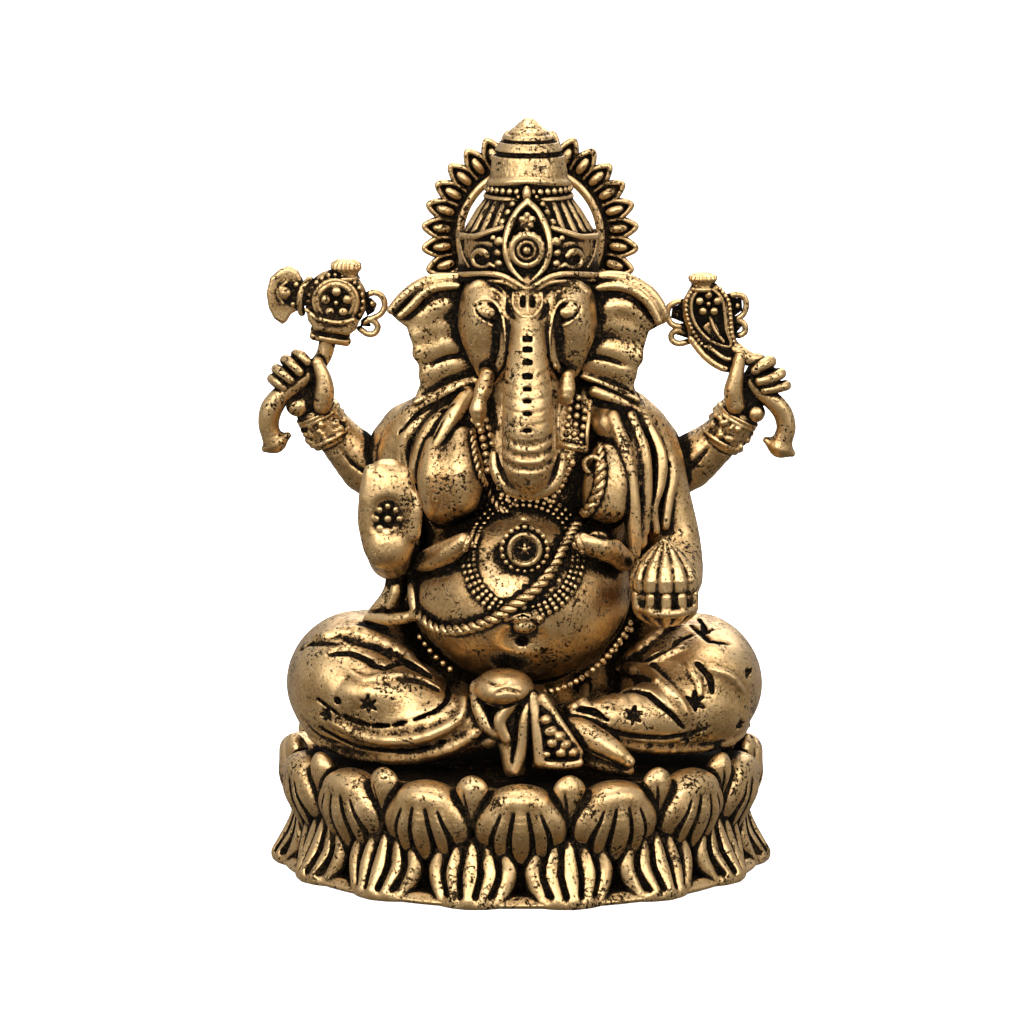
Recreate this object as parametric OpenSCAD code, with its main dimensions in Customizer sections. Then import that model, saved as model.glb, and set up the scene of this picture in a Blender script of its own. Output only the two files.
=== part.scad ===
// A seated, four-armed, elephant-headed figure on a double lotus, cast in brass.
// Millimetres. +X is the viewer's right, -Y is the front and +Z is up.
// The origin is the middle of the underside of the foot.
// "Right" and "left" in the names are the figure's own, so its right hand is at -X.

/* [Lotus seat] */
// Radius of the lotus over its petals
lotus_r = 33.4; // [28:0.2:38]
// Thickness of the scalloped foot slab
foot_t = 1.6; // [1:0.1:3]
// Height from the foot slab to the seat
drum_h = 13; // [11:0.1:16]
// Thickness of the seat plate
seat_t = 1.2; // [0.8:0.1:2]
// Petals in each row
petal_count = 15; // [13:1:17]
// Width of an upper petal
upper_petal_w = 11; // [8:0.1:12]
// Width of a lower petal
lower_petal_w = 10.4; // [8:0.1:12]
// Thickness of a petal at its middle
petal_t = 3.4; // [2.5:0.1:4.5]
// Rise of the petal tips over the seat
tip_rise = 1.4; // [0.5:0.1:3]

/* [Body] */
// Height from the seat to the line of the shoulders
torso_h = 42.5; // [36:0.5:50]
// Distance between the shoulder joints
shoulder_w = 26; // [22:0.5:31]
// Width of the belly
belly_w = 29.6; // [25:0.2:34]
// Height of the belly
belly_h = 25; // [22:0.2:29]
// Depth of the belly
belly_d = 31; // [27:0.2:36]
// Thickness of a thigh
thigh_d = 17.6; // [15:0.2:20]
// Distance between the outsides of the knees
knee_span = 63.4; // [56:0.2:68]

/* [Head] */
// Width of the head
head_w = 18; // [15:0.2:21]
// Height of the head from the jaw to the crown
head_h = 19; // [16:0.2:22]
// Thickness of the trunk
trunk_d = 6.8; // [5.5:0.1:8]
// Reach of an ear from the side of the head
ear_w = 9.6; // [8:0.1:12]
// Height of an ear
ear_h = 16.5; // [14:0.1:20]
// Thickness of an ear
ear_t = 1.6; // [1.2:0.1:2.4]

/* [Crown and halo] */
// Diameter of the crown band
crown_d = 18.6; // [16:0.2:21]
// Height of the crown band
band_h = 5.4; // [4:0.1:7]
// Height of the ribbed dome over the band
dome_h = 5.2; // [4:0.1:7]
// Diameter of the cap
cap_d = 10.6; // [8:0.2:12]
// Height of the cap
cap_h = 5.5; // [4:0.1:7]
// Height of the stepped finial
finial_h = 4.7; // [4:0.1:7]
// Inside diameter of the halo ring
halo_d = 18.8; // [17:0.2:22]
// Width of the halo ring from inside to outside
halo_rim = 1.7; // [1.2:0.1:2.5]
// Length of a halo ray
ray_l = 3.8; // [2.5:0.1:5]
// Thickness of the halo from front to back
halo_t = 1.8; // [1.2:0.1:2.5]
// Rays on the halo
ray_count = 19; // [15:2:21]

/* [Arms and what they hold] */
// Thickness of a raised arm at the wrist
wrist_d = 5; // [4:0.1:6]
// Distance of a raised fist from the middle
fist_x = 29; // [26:0.2:31]
// Height of a raised fist over the shoulder line
fist_z = 7.2; // [4:0.2:10]
// Diameter of the round boss of the axe
boss_d = 8; // [6:0.1:9]
// Thickness of the axe and the noose from front to back
emblem_t = 2.8; // [2:0.1:4]
// Length of the axe blade from its collar to its edge
blade_l = 4.4; // [3:0.1:5]
// Thickness of the horn handles
horn_d = 3.2; // [2.6:0.1:4]
// Diameter of the sweet in the lower left hand
sweet_d = 8.6; // [7:0.1:10]
// Height of the open right hand
palm_h = 13.6; // [11:0.1:15]

/* [Ornaments] */
// Diameter of a garland bead
bead_d = 0.9; // [0.7:0.05:1.2]
// Diameter of the chest medallion
medal_d = 6.2; // [5:0.1:8]
// Width of the garland loop on the belly
garland_w = 14.6; // [12:0.2:17]
// Height of the garland loop on the belly
garland_h = 14.6; // [12:0.2:17]
// Thickness of the sacred thread
thread_d = 1.2; // [1:0.1:1.6]

/* [Hidden] */

gold = "#b08a4a";
bright = "#d8b878";
dark = "#6b4e22";

form_fn = 14;
small_fn = 10;
finger_fn = 8;
smooth_n = 2;
clear = 0.02;

// Heights that stack up from the seat
seat_z = foot_t + drum_h;
thigh_z = seat_z + thigh_d / 2;
shoulder_z = seat_z + torso_h;
belly_z = thigh_z + belly_h / 2 + 2.2;
head_z = shoulder_z + 17.4;
crown_z = head_z + head_h / 2 - 4.8;
dome_z = crown_z + band_h;
cap_z = dome_z + dome_h;
finial_z = cap_z + cap_h;

// Places across and along the figure
lotus_x = -0.5;
lean_x = 0.5;
belly_y = -7.5;
crown_y = -2;
halo_y = 6.4;
halo_z = crown_z + 3.8;
emblem_y = -0.5;
knee_r = thigh_d / 2;
knee_x = knee_span / 2 - knee_r;
shoulder_x = shoulder_w / 2;
fist_h = shoulder_z + fist_z;

// A ball with its own half-width, half-depth and half-height: [x, y, z, rx, ry, rz]
module ball(b, fn = form_fn) translate([b[0], b[1], b[2]]) scale([b[3], b[4], b[5]]) sphere(r = 1, $fn = fn);

// Balls joined one to the next by a smooth skin
module limb(balls, fn = form_fn) {
    for (i = [1 : len(balls) - 1])
        hull() {
            ball(balls[i - 1], fn);
            ball(balls[i], fn);
        }
}

// A point of the smooth curve through four values
function curve(a, b, c, d, t) =
    0.5 * (2 * b + (c - a) * t + (2 * a - 5 * b + 4 * c - d) * t * t + (3 * b - a - 3 * c + d) * t * t * t);

// The smooth curve through a list of values, with n steps between each pair
function smooth(p, n = smooth_n) = concat(
    [for (i = [0 : len(p) - 2], k = [0 : n - 1])
        curve(p[max(i - 1, 0)], p[i], p[i + 1], p[min(i + 2, len(p) - 1)], k / n)],
    [p[len(p) - 1]]);

// Round ball values from a place and one radius
function round_ball(x, y, z, r) = [x, y, z, r, r, r];

// Front of the shoulders and sides, which ornaments lie on where the rounder forms don't reach
side_front = -7.4;

// Front face of a rounded form at a place across and up
function form_front(b, x, z) =
    let (q = 1 - pow((x - b[0]) / b[3], 2) - pow((z - b[2]) / b[5], 2))
    q > 0 ? b[1] - b[4] * sqrt(q) : side_front;

belly_ball = [0, belly_y, belly_z, belly_w / 2, belly_d / 2, belly_h / 2];
chest_ball = [0, -0.5, shoulder_z - 8.5, shoulder_w / 2 + 2, 12.5, 12];
breast_balls = [for (s = [-1, 1]) [s * shoulder_w * 0.34, -8.5, shoulder_z - 5.6, 6, 6.2, 6.6]];

// Front of the chest and the belly, which ornaments lie on
function body_front(x, z) = min(
    form_front(belly_ball, x, z),
    form_front(chest_ball, x, z),
    form_front(breast_balls[0], x, z),
    form_front(breast_balls[1], x, z));

// A point on the front of the body, lifted by a height
function on_body(x, z, lift) = [x, body_front(x, z) - lift, z];

// Everything at or under a height
module under(z) translate([-lotus_r * 1.2, -lotus_r * 1.2, z - 50]) cube([lotus_r * 2.4, lotus_r * 2.4, 50]);

// ---- Lotus seat ----

petal_a = 360 / petal_count;
waist_r = lotus_r - petal_t - 1.6;
rim_r = lotus_r - petal_t - 0.6;
waist_z = foot_t + drum_h * 0.3;

module foot_slab() {
    color(gold)
        translate([lotus_x, 0, 0])
            linear_extrude(foot_t)
                polygon([for (a = [0 : 3 : 357])
                    (lotus_r - 0.9 + 0.9 * cos((a + 90) * petal_count + 180)) * [cos(a), sin(a)]]);
}

// The drum, with pockets round it that the roots of the thin petals stand in
module lotus_drum() {
    color(dark)
        difference() {
            translate([lotus_x, 0, 0])
                rotate_extrude($fn = 60)
                    polygon([[0, foot_t], [rim_r, foot_t], [waist_r, waist_z], [rim_r, seat_z - seat_t - 1],
                        [rim_r, seat_z - seat_t], [0, seat_z - seat_t]]);
            inner_row();
            lower_row();
        }
}

module seat_plate() {
    color(dark)
        difference() {
            translate([lotus_x, 0, seat_z - seat_t])
                cylinder(h = seat_t, r = rim_r - 0.4, $fn = 60);
            inner_row();
        }
}

// One row of petals; odd rows stand between the petals of the even ones
module petal_row(half_step) {
    translate([lotus_x, 0, 0])
        for (i = [0 : petal_count - 1])
            rotate([0, 0, -90 + petal_a * (i + half_step)])
                children();
}

module drum_cut() {
    translate([lotus_x, 0, 0])
        rotate_extrude($fn = 60)
            polygon([[0, foot_t - 5], [rim_r, foot_t - 5], [rim_r, foot_t], [waist_r, waist_z],
                [rim_r, seat_z - seat_t - 1], [rim_r, seat_z - seat_t], [rim_r - 0.4, seat_z - seat_t],
                [rim_r - 0.4, seat_z + 0.01], [0, seat_z + 0.01]]);
}

module upper_petals() {
    color(gold)
        difference() {
            petal_row(0) hull() {
                ball([lotus_r - petal_t - 0.2, 0, waist_z + 1.4, petal_t * 0.5, upper_petal_w * 0.2, 2.2], finger_fn);
                ball([lotus_r - petal_t * 0.62, 0, seat_z - 6, petal_t * 0.5, upper_petal_w * 0.5, 4.6], finger_fn);
                ball([lotus_r - petal_t * 0.3, 0, seat_z + tip_rise - 2, petal_t * 0.3, upper_petal_w * 0.3, 2], finger_fn);
            }
            drum_cut();
        }
}

// A leaf-shaped plate that lies along +X from its root to its rounded tip
module leaf(length, w, t) {
    linear_extrude(t)
        polygon([for (k = [0 : 15 : 345])
            [length * (0.5 - 0.5 * cos(k)), 0.5 * w * sin(k) * (1 - 0.35 * pow(0.5 - 0.5 * cos(k), 2))]]);
}

inner_petal_l = 5;
leaf_t = 1.2;

module inner_row() {
    petal_row(0.5)
        translate([rim_r - 0.1, 0, seat_z + tip_rise - inner_petal_l])
            rotate([0, -78, 0])
                leaf(inner_petal_l, 3.6, leaf_t);
}

module inner_petals() {
    color(gold) inner_row();
}

lower_petal_rise = waist_z - foot_t;
lower_petal_reach = lotus_r - 0.4 - waist_r;

module lower_row() {
    drop = lower_petal_rise - leaf_t;
    petal_row(0.5)
        translate([waist_r - 0.3, 0, waist_z - leaf_t / 2])
            rotate([0, atan2(drop, lower_petal_reach), 0])
                translate([0, 0, -leaf_t / 2])
                    leaf(norm([drop, lower_petal_reach]), lower_petal_w, leaf_t);
}

module lower_petals() {
    color(gold) lower_row();
}

// ---- Body ----

module torso_form() {
    limb(smooth([
        [0, 3, seat_z + 4, 13, 12, 6],
        [0, 3, seat_z + 16, 13, 11, 9],
        [chest_ball[0], chest_ball[1] + 1.5, chest_ball[2], chest_ball[3], chest_ball[4] - 1.5, chest_ball[5]],
        [0, 0.5, shoulder_z, shoulder_x, 7.5, 5],
        [lean_x, -1, shoulder_z + 7, 6.4, 6.4, 4]
    ]));
    for (b = breast_balls)
        hull()
            ball(b);
}

module torso() {
    color(gold)
        difference() {
            torso_form();
            under(seat_z);
        }
}

module belly_form() {
    hull() ball(belly_ball, 28);
}

module belly() {
    color(bright)
        difference() {
            belly_form();
            torso_form();
            under(seat_z);
        }
}

// A folded leg, from the hip out to the knee and back to the front
module leg_form(side) {
    limb(smooth([
        round_ball(side * 9, -1, thigh_z + 0.6, knee_r - 0.6),
        round_ball(side * (knee_x - 4), -5, thigh_z + 0.3, knee_r - 0.2),
        round_ball(side * knee_x, -10, thigh_z, knee_r),
        [side * (knee_x - 4.5), -17.5, thigh_z - 1.2, knee_r - 1.2, knee_r - 1.8, knee_r - 2],
        [side * 11.5, -22.5, thigh_z - 0.4, 5.2, 4.6, 5.4]
    ]));
}

module leg(side) {
    difference() {
        leg_form(side);
        torso_form();
        belly_form();
        under(seat_z);
    }
}

module right_leg() {
    color(gold) leg(-1);
}

module left_leg() {
    color(gold) leg(1);
}

sash_y = -25.6;

// Gathered cloth end between the shins, with a rounded top
module sash_form() {
    limb(smooth([
        [-3.2, sash_y + 1, thigh_z + 4.4, 4, 3, 2.8],
        [-2.6, sash_y, thigh_z + 1, 2.8, 2.4, 2.6],
        [-1.6, sash_y - 0.4, thigh_z - 3.4, 2.4, 2, 2.6],
        [-1.2, sash_y - 0.6, seat_z + 2, 2, 1.8, 1.9]
    ]), small_fn);
}

module front_sash() {
    color(bright)
        difference() {
            sash_form();
            leg_form(-1);
            leg_form(1);
            belly_form();
            under(seat_z);
        }
}

// The right foot: an instep that fans out to its toes
module right_foot_form() {
    limb(smooth([
        [2.6, sash_y + 1, thigh_z + 0.6, 1.8, 2.2, 2],
        [4.2, sash_y + 0.4, thigh_z - 2.4, 2.4, 2.2, 2.2],
        [5.4, sash_y, seat_z + 3, 2.8, 2.2, 2.2],
        [5.8, sash_y - 0.4, seat_z + 1.6, 2.9, 2, 1.6]
    ]), small_fn);
}

module right_foot() {
    color(gold)
        difference() {
            right_foot_form();
            sash_form();
            leg_form(1);
            leg_form(-1);
            under(seat_z);
        }
}

// The toes of the left foot, which point out from under the other shin
module left_foot() {
    color(gold)
        difference() {
            limb(smooth([
                [6, sash_y + 1.6, thigh_z - 1.4, 1.8, 1.8, 1.7],
                [9, sash_y + 0.6, thigh_z - 3, 1.8, 1.7, 1.5],
                [13.2, sash_y + 0.4, thigh_z - 5.2, 1, 1.1, 0.9]
            ], 3), small_fn);
            right_foot_form();
            leg_form(1);
        }
}

// ---- Lower arms and hands ----

palm_x = -17.9;
palm_y = -20.6;
palm_z = shoulder_z - 6.6;
sweet_x = 18.6;
sweet_y = -20.6;
sweet_z = thigh_z + 18.4;

module front_arm_form(side) {
    hand = side < 0
        ? round_ball(palm_x, palm_y + 3.4, palm_z - 3.6, 2.7)
        : round_ball(sweet_x, sweet_y + 2.4, sweet_z - 3.6, 3);
    limb(smooth([
        round_ball(side * (shoulder_x + 0.6), 0, shoulder_z - 2.6, 4.6),
        round_ball(side * (shoulder_x + 2.8), -1.6, shoulder_z - 9.6, 4),
        side < 0
            ? round_ball(-shoulder_x - 3, -6, shoulder_z - 16, 3.6)
            : round_ball(shoulder_x + 5, -6, shoulder_z - 19, 3.6),
        hand
    ]));
}

module front_arm(side) {
    difference() {
        front_arm_form(side);
        torso_form();
        belly_form();
        leg_form(side);
        if (side > 0)
            sweet_form();
    }
}

module front_right_arm() {
    color(gold) front_arm(-1);
}

module front_left_arm() {
    color(gold) front_arm(1);
}

// The open palm, raised in blessing
module front_right_hand() {
    color(bright)
        difference() {
            union() {
                hull() {
                    ball([palm_x, palm_y, palm_z - palm_h * 0.16, 4, 2.3, palm_h * 0.34]);
                    ball([palm_x, palm_y, palm_z + palm_h * 0.2, 3.5, 1.9, palm_h * 0.3]);
                }
                for (i = [0 : 3])
                    hull() {
                        ball([palm_x - 2.6 + i * 1.7, palm_y, palm_z + palm_h * 0.2, 0.9, 1, 2], finger_fn);
                        ball([palm_x - 2.1 + i * 1.4, palm_y, palm_z + palm_h * 0.42, 0.8, 0.9, 1], finger_fn);
                    }
            }
            front_arm_form(-1);
        }
}

// The hand under the sweet, with its four fingers curled up in front
module left_hand_form() {
    limb(smooth([
        [sweet_x - 0.4, sweet_y + 1.6, sweet_z - 3.8, 3.4, 2.8, 1.8],
        [sweet_x - 0.4, sweet_y - 1, sweet_z - 3.6, 3.6, 2.6, 1.7],
        [sweet_x - 0.4, sweet_y - 2, sweet_z - 3.2, 3.4, 2, 1.5]
    ]), small_fn);
    for (i = [0 : 3])
        hull() {
            ball([sweet_x - 3 + i * 1.8, sweet_y - 3.2, sweet_z - 4, 0.9, 1, 1.1], finger_fn);
            ball([sweet_x - 3 + i * 1.8, sweet_y - 3.4, sweet_z - 2.6, 0.9, 0.9, 0.9], finger_fn);
        }
}

module front_left_hand() {
    color(bright)
        difference() {
            left_hand_form();
            sweet_form();
            front_arm_form(1);
            leg_form(1);
        }
}

// The sweet dumpling: a round body drawn up to a point, with twelve pleats
module sweet_form() {
    translate([sweet_x, sweet_y, sweet_z])
        rotate_extrude($fn = 36)
            polygon([[0, -sweet_d * 0.34], [sweet_d * 0.28, -sweet_d * 0.34], [sweet_d * 0.43, -sweet_d * 0.22],
                [sweet_d * 0.5, 0], [sweet_d * 0.43, sweet_d * 0.16], [sweet_d * 0.25, sweet_d * 0.3],
                [sweet_d * 0.08, sweet_d * 0.4], [0, sweet_d * 0.48]]);
}

module sweet() {
    color(bright)
        difference() {
            sweet_form();
            for (a = [0 : 30 : 330])
                translate([sweet_x, sweet_y, sweet_z])
                    rotate([0, 0, a])
                        translate([sweet_d * 0.55, 0, -sweet_d])
                            cylinder(h = sweet_d * 2, r = sweet_d * 0.1, $fn = 20);
        }
}

// A shawl that lies over a shoulder and hangs in front of it
module shawl_form(side) {
    limb(smooth([
        [side * 7.6, -3, shoulder_z + 4, 3, 4.4, 2],
        [side * (shoulder_x - 1), -2, shoulder_z + 1, 4, 5.6, 2.4],
        [side * (shoulder_x + 2.8), -3.6, shoulder_z - 4, 2.6, 5.4, 3],
        [side * (shoulder_x + 2.6), -6.4, shoulder_z - 11, 2.4, 4.6, 4]
    ]));
    limb([
        [side * 8.6, -8, shoulder_z + 2.4, 1.8, 2, 2],
        [side * (shoulder_x - 0.6), -11, shoulder_z - 3, 2.6, 2.4, 3],
        [side * (shoulder_x + 0.6), -12.2, shoulder_z - 9, 2.4, 2, 3]
    ]);
}

module shawl(side) {
    difference() {
        shawl_form(side);
        torso_form();
        belly_form();
        front_arm_form(side);
    }
}

// The end of the right shawl, which comes out under the arm and spreads over the thigh
module right_shawl_end() {
    color(bright)
        difference() {
            limb(smooth([
                [-shoulder_x - 2, -7, shoulder_z - 16, 2.4, 4, 3],
                [-shoulder_x - 2.8, -10, thigh_z + 13, 2.2, 3.6, 3],
                [-shoulder_x - 5.6, -11, thigh_z + 9.6, 4, 3.4, 2]
            ]));
            torso_form();
            belly_form();
            front_arm_form(-1);
            leg_form(-1);
            shawl_form(-1);
        }
}

module right_shawl() {
    color(bright) shawl(-1);
}

module left_shawl() {
    color(bright) shawl(1);
}

// ---- Raised arms ----

elbow_z = shoulder_z - 8.4;
wrist_x = fist_x - 2.6;
wrist_z = fist_h - 6.2;

module rear_arm_form(side) {
    limb(smooth([
        round_ball(side * (shoulder_x - 2), 5, shoulder_z - 4, 4),
        round_ball(side * (shoulder_x + 5), 4.6, elbow_z, 3.8),
        round_ball(side * (wrist_x - 3.6), 2.8, wrist_z - 3.8, wrist_d / 2 + 0.5),
        round_ball(side * wrist_x, 1.4, wrist_z, wrist_d / 2),
        round_ball(side * (fist_x - 0.8), 0.4, fist_h - 3.4, wrist_d / 2 - 0.1)
    ]));
}

module rear_arm(side) {
    difference() {
        rear_arm_form(side);
        torso_form();
        front_arm_form(side);
        bracelet(side);
    }
}

module rear_right_arm() {
    color(gold) rear_arm(-1);
}

module rear_left_arm() {
    color(gold) rear_arm(1);
}

// A wide band round the wrist, between two thin rims, in line with the forearm
module bracelet(side) {
    translate([side * wrist_x, 1.4, wrist_z])
        rotate([10, side * 38, 0])
            rotate_extrude($fn = 40)
                polygon([[wrist_d / 2 + 0.05, -1.9], [wrist_d / 2 + 0.9, -1.9], [wrist_d / 2 + 0.9, -1.3],
                    [wrist_d / 2 + 0.6, -1.1], [wrist_d / 2 + 0.6, 1.1], [wrist_d / 2 + 0.9, 1.3],
                    [wrist_d / 2 + 0.9, 1.9], [wrist_d / 2 + 0.05, 1.9]]);
}

module rear_right_bracelet() {
    color(bright) bracelet(-1);
}

module rear_left_bracelet() {
    color(bright) bracelet(1);
}

// Where the handle enters the fist, and its direction through it
grip = [fist_x - 0.8, fist_h + 2.6];
grip_way = [0.817, -0.577];
grip_out = [0.577, 0.817];
finger_gap = 1.45;

// A ball beside the handle: along it, out from it, and at a depth
function grip_ball(side, along, out, y, r) =
    let (p = grip + along * grip_way + out * grip_out)
    round_ball(side * p[0], y, p[1], r);

// A closed fist: the palm behind the handle, four fingers wrapped over it, and the thumb
module fist_form(side) {
    limb([
        [side * (fist_x - 0.6), 1.4, fist_h - 2.4, 3, 2.2, 2],
        [side * (fist_x - 0.4), 1.4, fist_h, 3.2, 2, 2.2],
        [side * (fist_x + 0.4), 1.4, fist_h + 2, 3, 1.8, 1.8]
    ], small_fn);
    for (i = [0 : 3])
        let (along = (i - 0.6) * finger_gap)
            limb([
                grip_ball(side, along, 1.2, 1.4, 1),
                grip_ball(side, along, 2.2, -0.4, 0.85),
                grip_ball(side, along, 1, -2.4, 0.8),
                grip_ball(side, along, -0.8, -2.5, 0.75)
            ], finger_fn);
    limb([
        [side * (fist_x - 2.4), 0.4, fist_h - 2, 1.3, 1.6, 1.6],
        [side * (fist_x - 2.8), -0.6, fist_h + 0.4, 1.2, 1.3, 1.6],
        [side * (fist_x - 3.2), -1.4, fist_h + 2.6, 0.9, 1, 1.2]
    ], finger_fn);
}

// The curved handle, which runs through the fist and flares like a horn
module horn_form(side) {
    limb(smooth([
        round_ball(side * (fist_x - 3.4), emblem_y, fist_h + 5.4, horn_d * 0.45),
        round_ball(side * (fist_x - 0.8), emblem_y, fist_h + 2.6, horn_d * 0.44),
        round_ball(side * (fist_x + 2.6), emblem_y, fist_h + 0.2, horn_d * 0.48),
        round_ball(side * (fist_x + 4.8), emblem_y, fist_h - 4.2, horn_d * 0.48),
        round_ball(side * (fist_x + 4.2), emblem_y, fist_h - 7.4, horn_d * 0.5),
        [side * (fist_x + 3.7), emblem_y, fist_h - 9.4, horn_d * 0.64, horn_d * 0.56, 0.4]
    ]), small_fn);
}

module fist(side) {
    difference() {
        fist_form(side);
        rear_arm_form(side);
        horn_form(side);
    }
}

module rear_right_hand() {
    color(bright) fist(-1);
}

module rear_left_hand() {
    color(bright) fist(1);
}

// The foot of each emblem, which is let into the top of its handle
module emblem_foot(side) {
    if (side < 0)
        translate([axe_x, emblem_y, axe_z - boss_d / 2 - 1.3])
            cylinder(h = horn_d, r = horn_d, $fn = 40);
    else
        noose_body();
}

module handle(side) {
    difference() {
        horn_form(side);
        rear_arm_form(side);
        emblem_foot(side);
    }
}

module axe_handle() {
    color(gold) handle(-1);
}

module noose_handle() {
    color(gold) handle(1);
}

// ---- Axe in the raised right hand ----

axe_x = -(fist_x - 3.9);
axe_z = fist_h + 6.4 + boss_d / 2;

// A disc that faces the front, round an axis along Y
module disc(x, z, d, t, y = emblem_y) {
    translate([x, y + t / 2, z])
        rotate([90, 0, 0])
            cylinder(h = t, d = d, $fn = 48);
}

// The disc of the boss, and the cup and neck under it
module boss_body() {
    disc(axe_x, axe_z, boss_d, emblem_t * 0.8);
    translate([axe_x, emblem_y, axe_z - boss_d / 2 - 0.6])
        cylinder(h = 1.4, r1 = 1.9, r2 = 2.6, $fn = 40);
    translate([axe_x, emblem_y, axe_z - boss_d / 2 - 1.3])
        cylinder(h = 0.8, r = 2.3, $fn = 40);
}

// The round boss with its rim and the five balls of its flower
module axe_boss() {
    color(bright) {
        boss_body();
        translate([axe_x, emblem_y - emblem_t * 0.4, axe_z])
            rotate([90, 0, 0])
                difference() {
                    cylinder(h = 0.5, d = boss_d - 0.9, $fn = 48);
                    translate([0, 0, 0.1])
                        cylinder(h = 1, d = boss_d * 0.64, $fn = 48);
                }
        for (a = [0 : 72 : 288])
            translate([axe_x, emblem_y - emblem_t * 0.4 - 0.1, axe_z])
                rotate([0, a + 36, 0])
                    translate([0, 0, boss_d * 0.19])
                        sphere(d = boss_d * 0.2, $fn = 20);
    }
}

collar_w = 1.1;
collar_h = 4;

// The blade, a crescent with a collar where it leaves the boss
module axe_blade() {
    color(gold)
        translate([axe_x, emblem_y, axe_z])
            rotate([90, 0, 0])
                difference() {
                    union() {
                        translate([-boss_d / 2 - collar_w / 2, -collar_h / 2, -emblem_t * 0.36])
                            cube([collar_w, collar_h, emblem_t * 0.72]);
                        translate([0, 0, -emblem_t * 0.3])
                            linear_extrude(emblem_t * 0.6)
                                difference() {
                                    translate([-boss_d / 2, 0])
                                        intersection() {
                                            circle(r = blade_l, $fn = 48);
                                            translate([-blade_l, -blade_l])
                                                square([blade_l - collar_w / 4, blade_l * 2]);
                                        }
                                    for (s = [-1, 1])
                                        translate([-boss_d / 2 - 0.4, s * blade_l * 0.96])
                                            circle(r = blade_l * 0.42, $fn = 32);
                                }
                    }
                    translate([0, 0, -emblem_t])
                        cylinder(h = emblem_t * 2, d = boss_d + 2 * clear, $fn = 48);
                }
}

// A fluted bun on top of an emblem
module knob(x, z, r, h) {
    translate([x, emblem_y, z]) {
        cylinder(h = h * 0.3, r = r * 0.7, $fn = 32);
        translate([0, 0, h * 0.3])
            difference() {
                rotate_extrude($fn = 40)
                    polygon([[0, 0], [r * 0.9, 0], [r, h * 0.2], [r * 0.92, h * 0.45], [r * 0.5, h * 0.66], [0, h * 0.7]]);
                for (a = [0 : 30 : 330])
                    rotate([0, 0, a])
                        translate([r * 1.12, 0, -1])
                            cylinder(h = h + 2, r = r * 0.2, $fn = 20);
            }
    }
}

knob_h = 2.9;

module axe_knob() {
    color(bright)
        difference() {
            knob(axe_x + 1, axe_z + boss_d / 2 - 0.9, 2.1, knob_h);
            disc(axe_x, axe_z, boss_d, emblem_t * 0.8);
        }
}

// Part of a round wire ring that faces the front
module wire_arc(x, z, r, wire, from, sweep) {
    translate([x, emblem_y, z])
        rotate([90, 0, 0])
            rotate([0, 0, from])
                rotate_extrude(angle = sweep, $fn = 40)
                    translate([r, 0])
                        circle(d = wire, $fn = 20);
}

module axe_scroll() {
    color(gold) {
        wire_arc(axe_x + boss_d / 2 + 1, axe_z + 0.4, 1.4, 0.9, -120, 250);
        wire_arc(axe_x + boss_d / 2 + 0.1, axe_z - 3, 1, 0.8, -160, 250);
    }
}

// ---- Noose in the raised left hand ----

noose_x = fist_x - 5.1;
noose_z = fist_h + 10.3;
noose_r = 3.15;
tail_x = fist_x - 1.6;
tail_z = fist_h + 4.2;

// A paisley plate: a round head that narrows to its tail
module noose_outline() {
    steps = 6;
    for (i = [0 : steps - 1])
        hull()
            for (k = [i, i + 1])
                let (t = k / steps)
                    translate([noose_x + (tail_x - noose_x) * pow(t, 1.5), noose_z + (tail_z - noose_z) * t])
                        circle(r = noose_r * (1 - 0.7 * t), $fn = 28);
}

module noose_body() {
    translate([0, emblem_y + emblem_t * 0.35, 0])
        rotate([90, 0, 0])
            linear_extrude(emblem_t * 0.7)
                noose_outline();
}

module noose_plate() {
    color(bright) {
        noose_body();
        translate([noose_x, emblem_y - emblem_t * 0.35, noose_z]) {
            for (a = [0 : 72 : 288])
                rotate([0, a, 0])
                    translate([0, 0, noose_r * 0.5])
                        sphere(d = noose_r * 0.5, $fn = 20);
            sphere(d = noose_r * 0.36, $fn = 20);
        }
    }
}

module noose_knob() {
    color(bright)
        difference() {
            knob(noose_x - 0.4, noose_z + noose_r - 0.7, 2, 2.4);
            noose_body();
        }
}

module noose_scrolls() {
    color(gold) {
        wire_arc(noose_x - noose_r - 0.7, noose_z - 1.6, 1.4, 0.8, 60, 230);
        wire_arc(noose_x + noose_r + 0.6, noose_z + 0.4, 1.5, 0.8, -130, 250);
    }
}

// ---- Head ----

skull_ball = [lean_x, -3.6, head_z + 1.4, head_w / 2, 9.6, head_h / 2];

module head_form() {
    limb(smooth([
        skull_ball,
        [lean_x, -6, head_z - 2.4, head_w / 2 - 1, 8.4, 5.4],
        [lean_x, -7.6, head_z - 7, head_w / 2 - 3, 6.4, 3.6]
    ]));
    for (s = [-1, 1])
        hull() {
            ball([lean_x + s * head_w * 0.27, -9, head_z + 2, 3.8, 4, 4]);
            ball([lean_x + s * head_w * 0.26, -9.4, head_z - 5, 3, 3.6, 3]);
        }
}

module head() {
    color(gold)
        difference() {
            head_form();
            torso_form();
            crown_cut();
            crest_form();
        }
}

trunk_r = trunk_d / 2;
trunk_balls = [
    [lean_x, -12, head_z + 0.6, trunk_r * 0.72, trunk_r, trunk_r],
    [lean_x, -14.6, head_z - 4.4, trunk_r * 0.9, trunk_r, trunk_r],
    [lean_x, -17.6, head_z - 10, trunk_r, trunk_r, trunk_r],
    [lean_x, -19.6, head_z - 15.4, trunk_r, trunk_r, trunk_r],
    [lean_x, -19.4, head_z - 18.4, trunk_r * 0.9, trunk_r * 0.95, trunk_r * 0.8]
];

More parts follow.
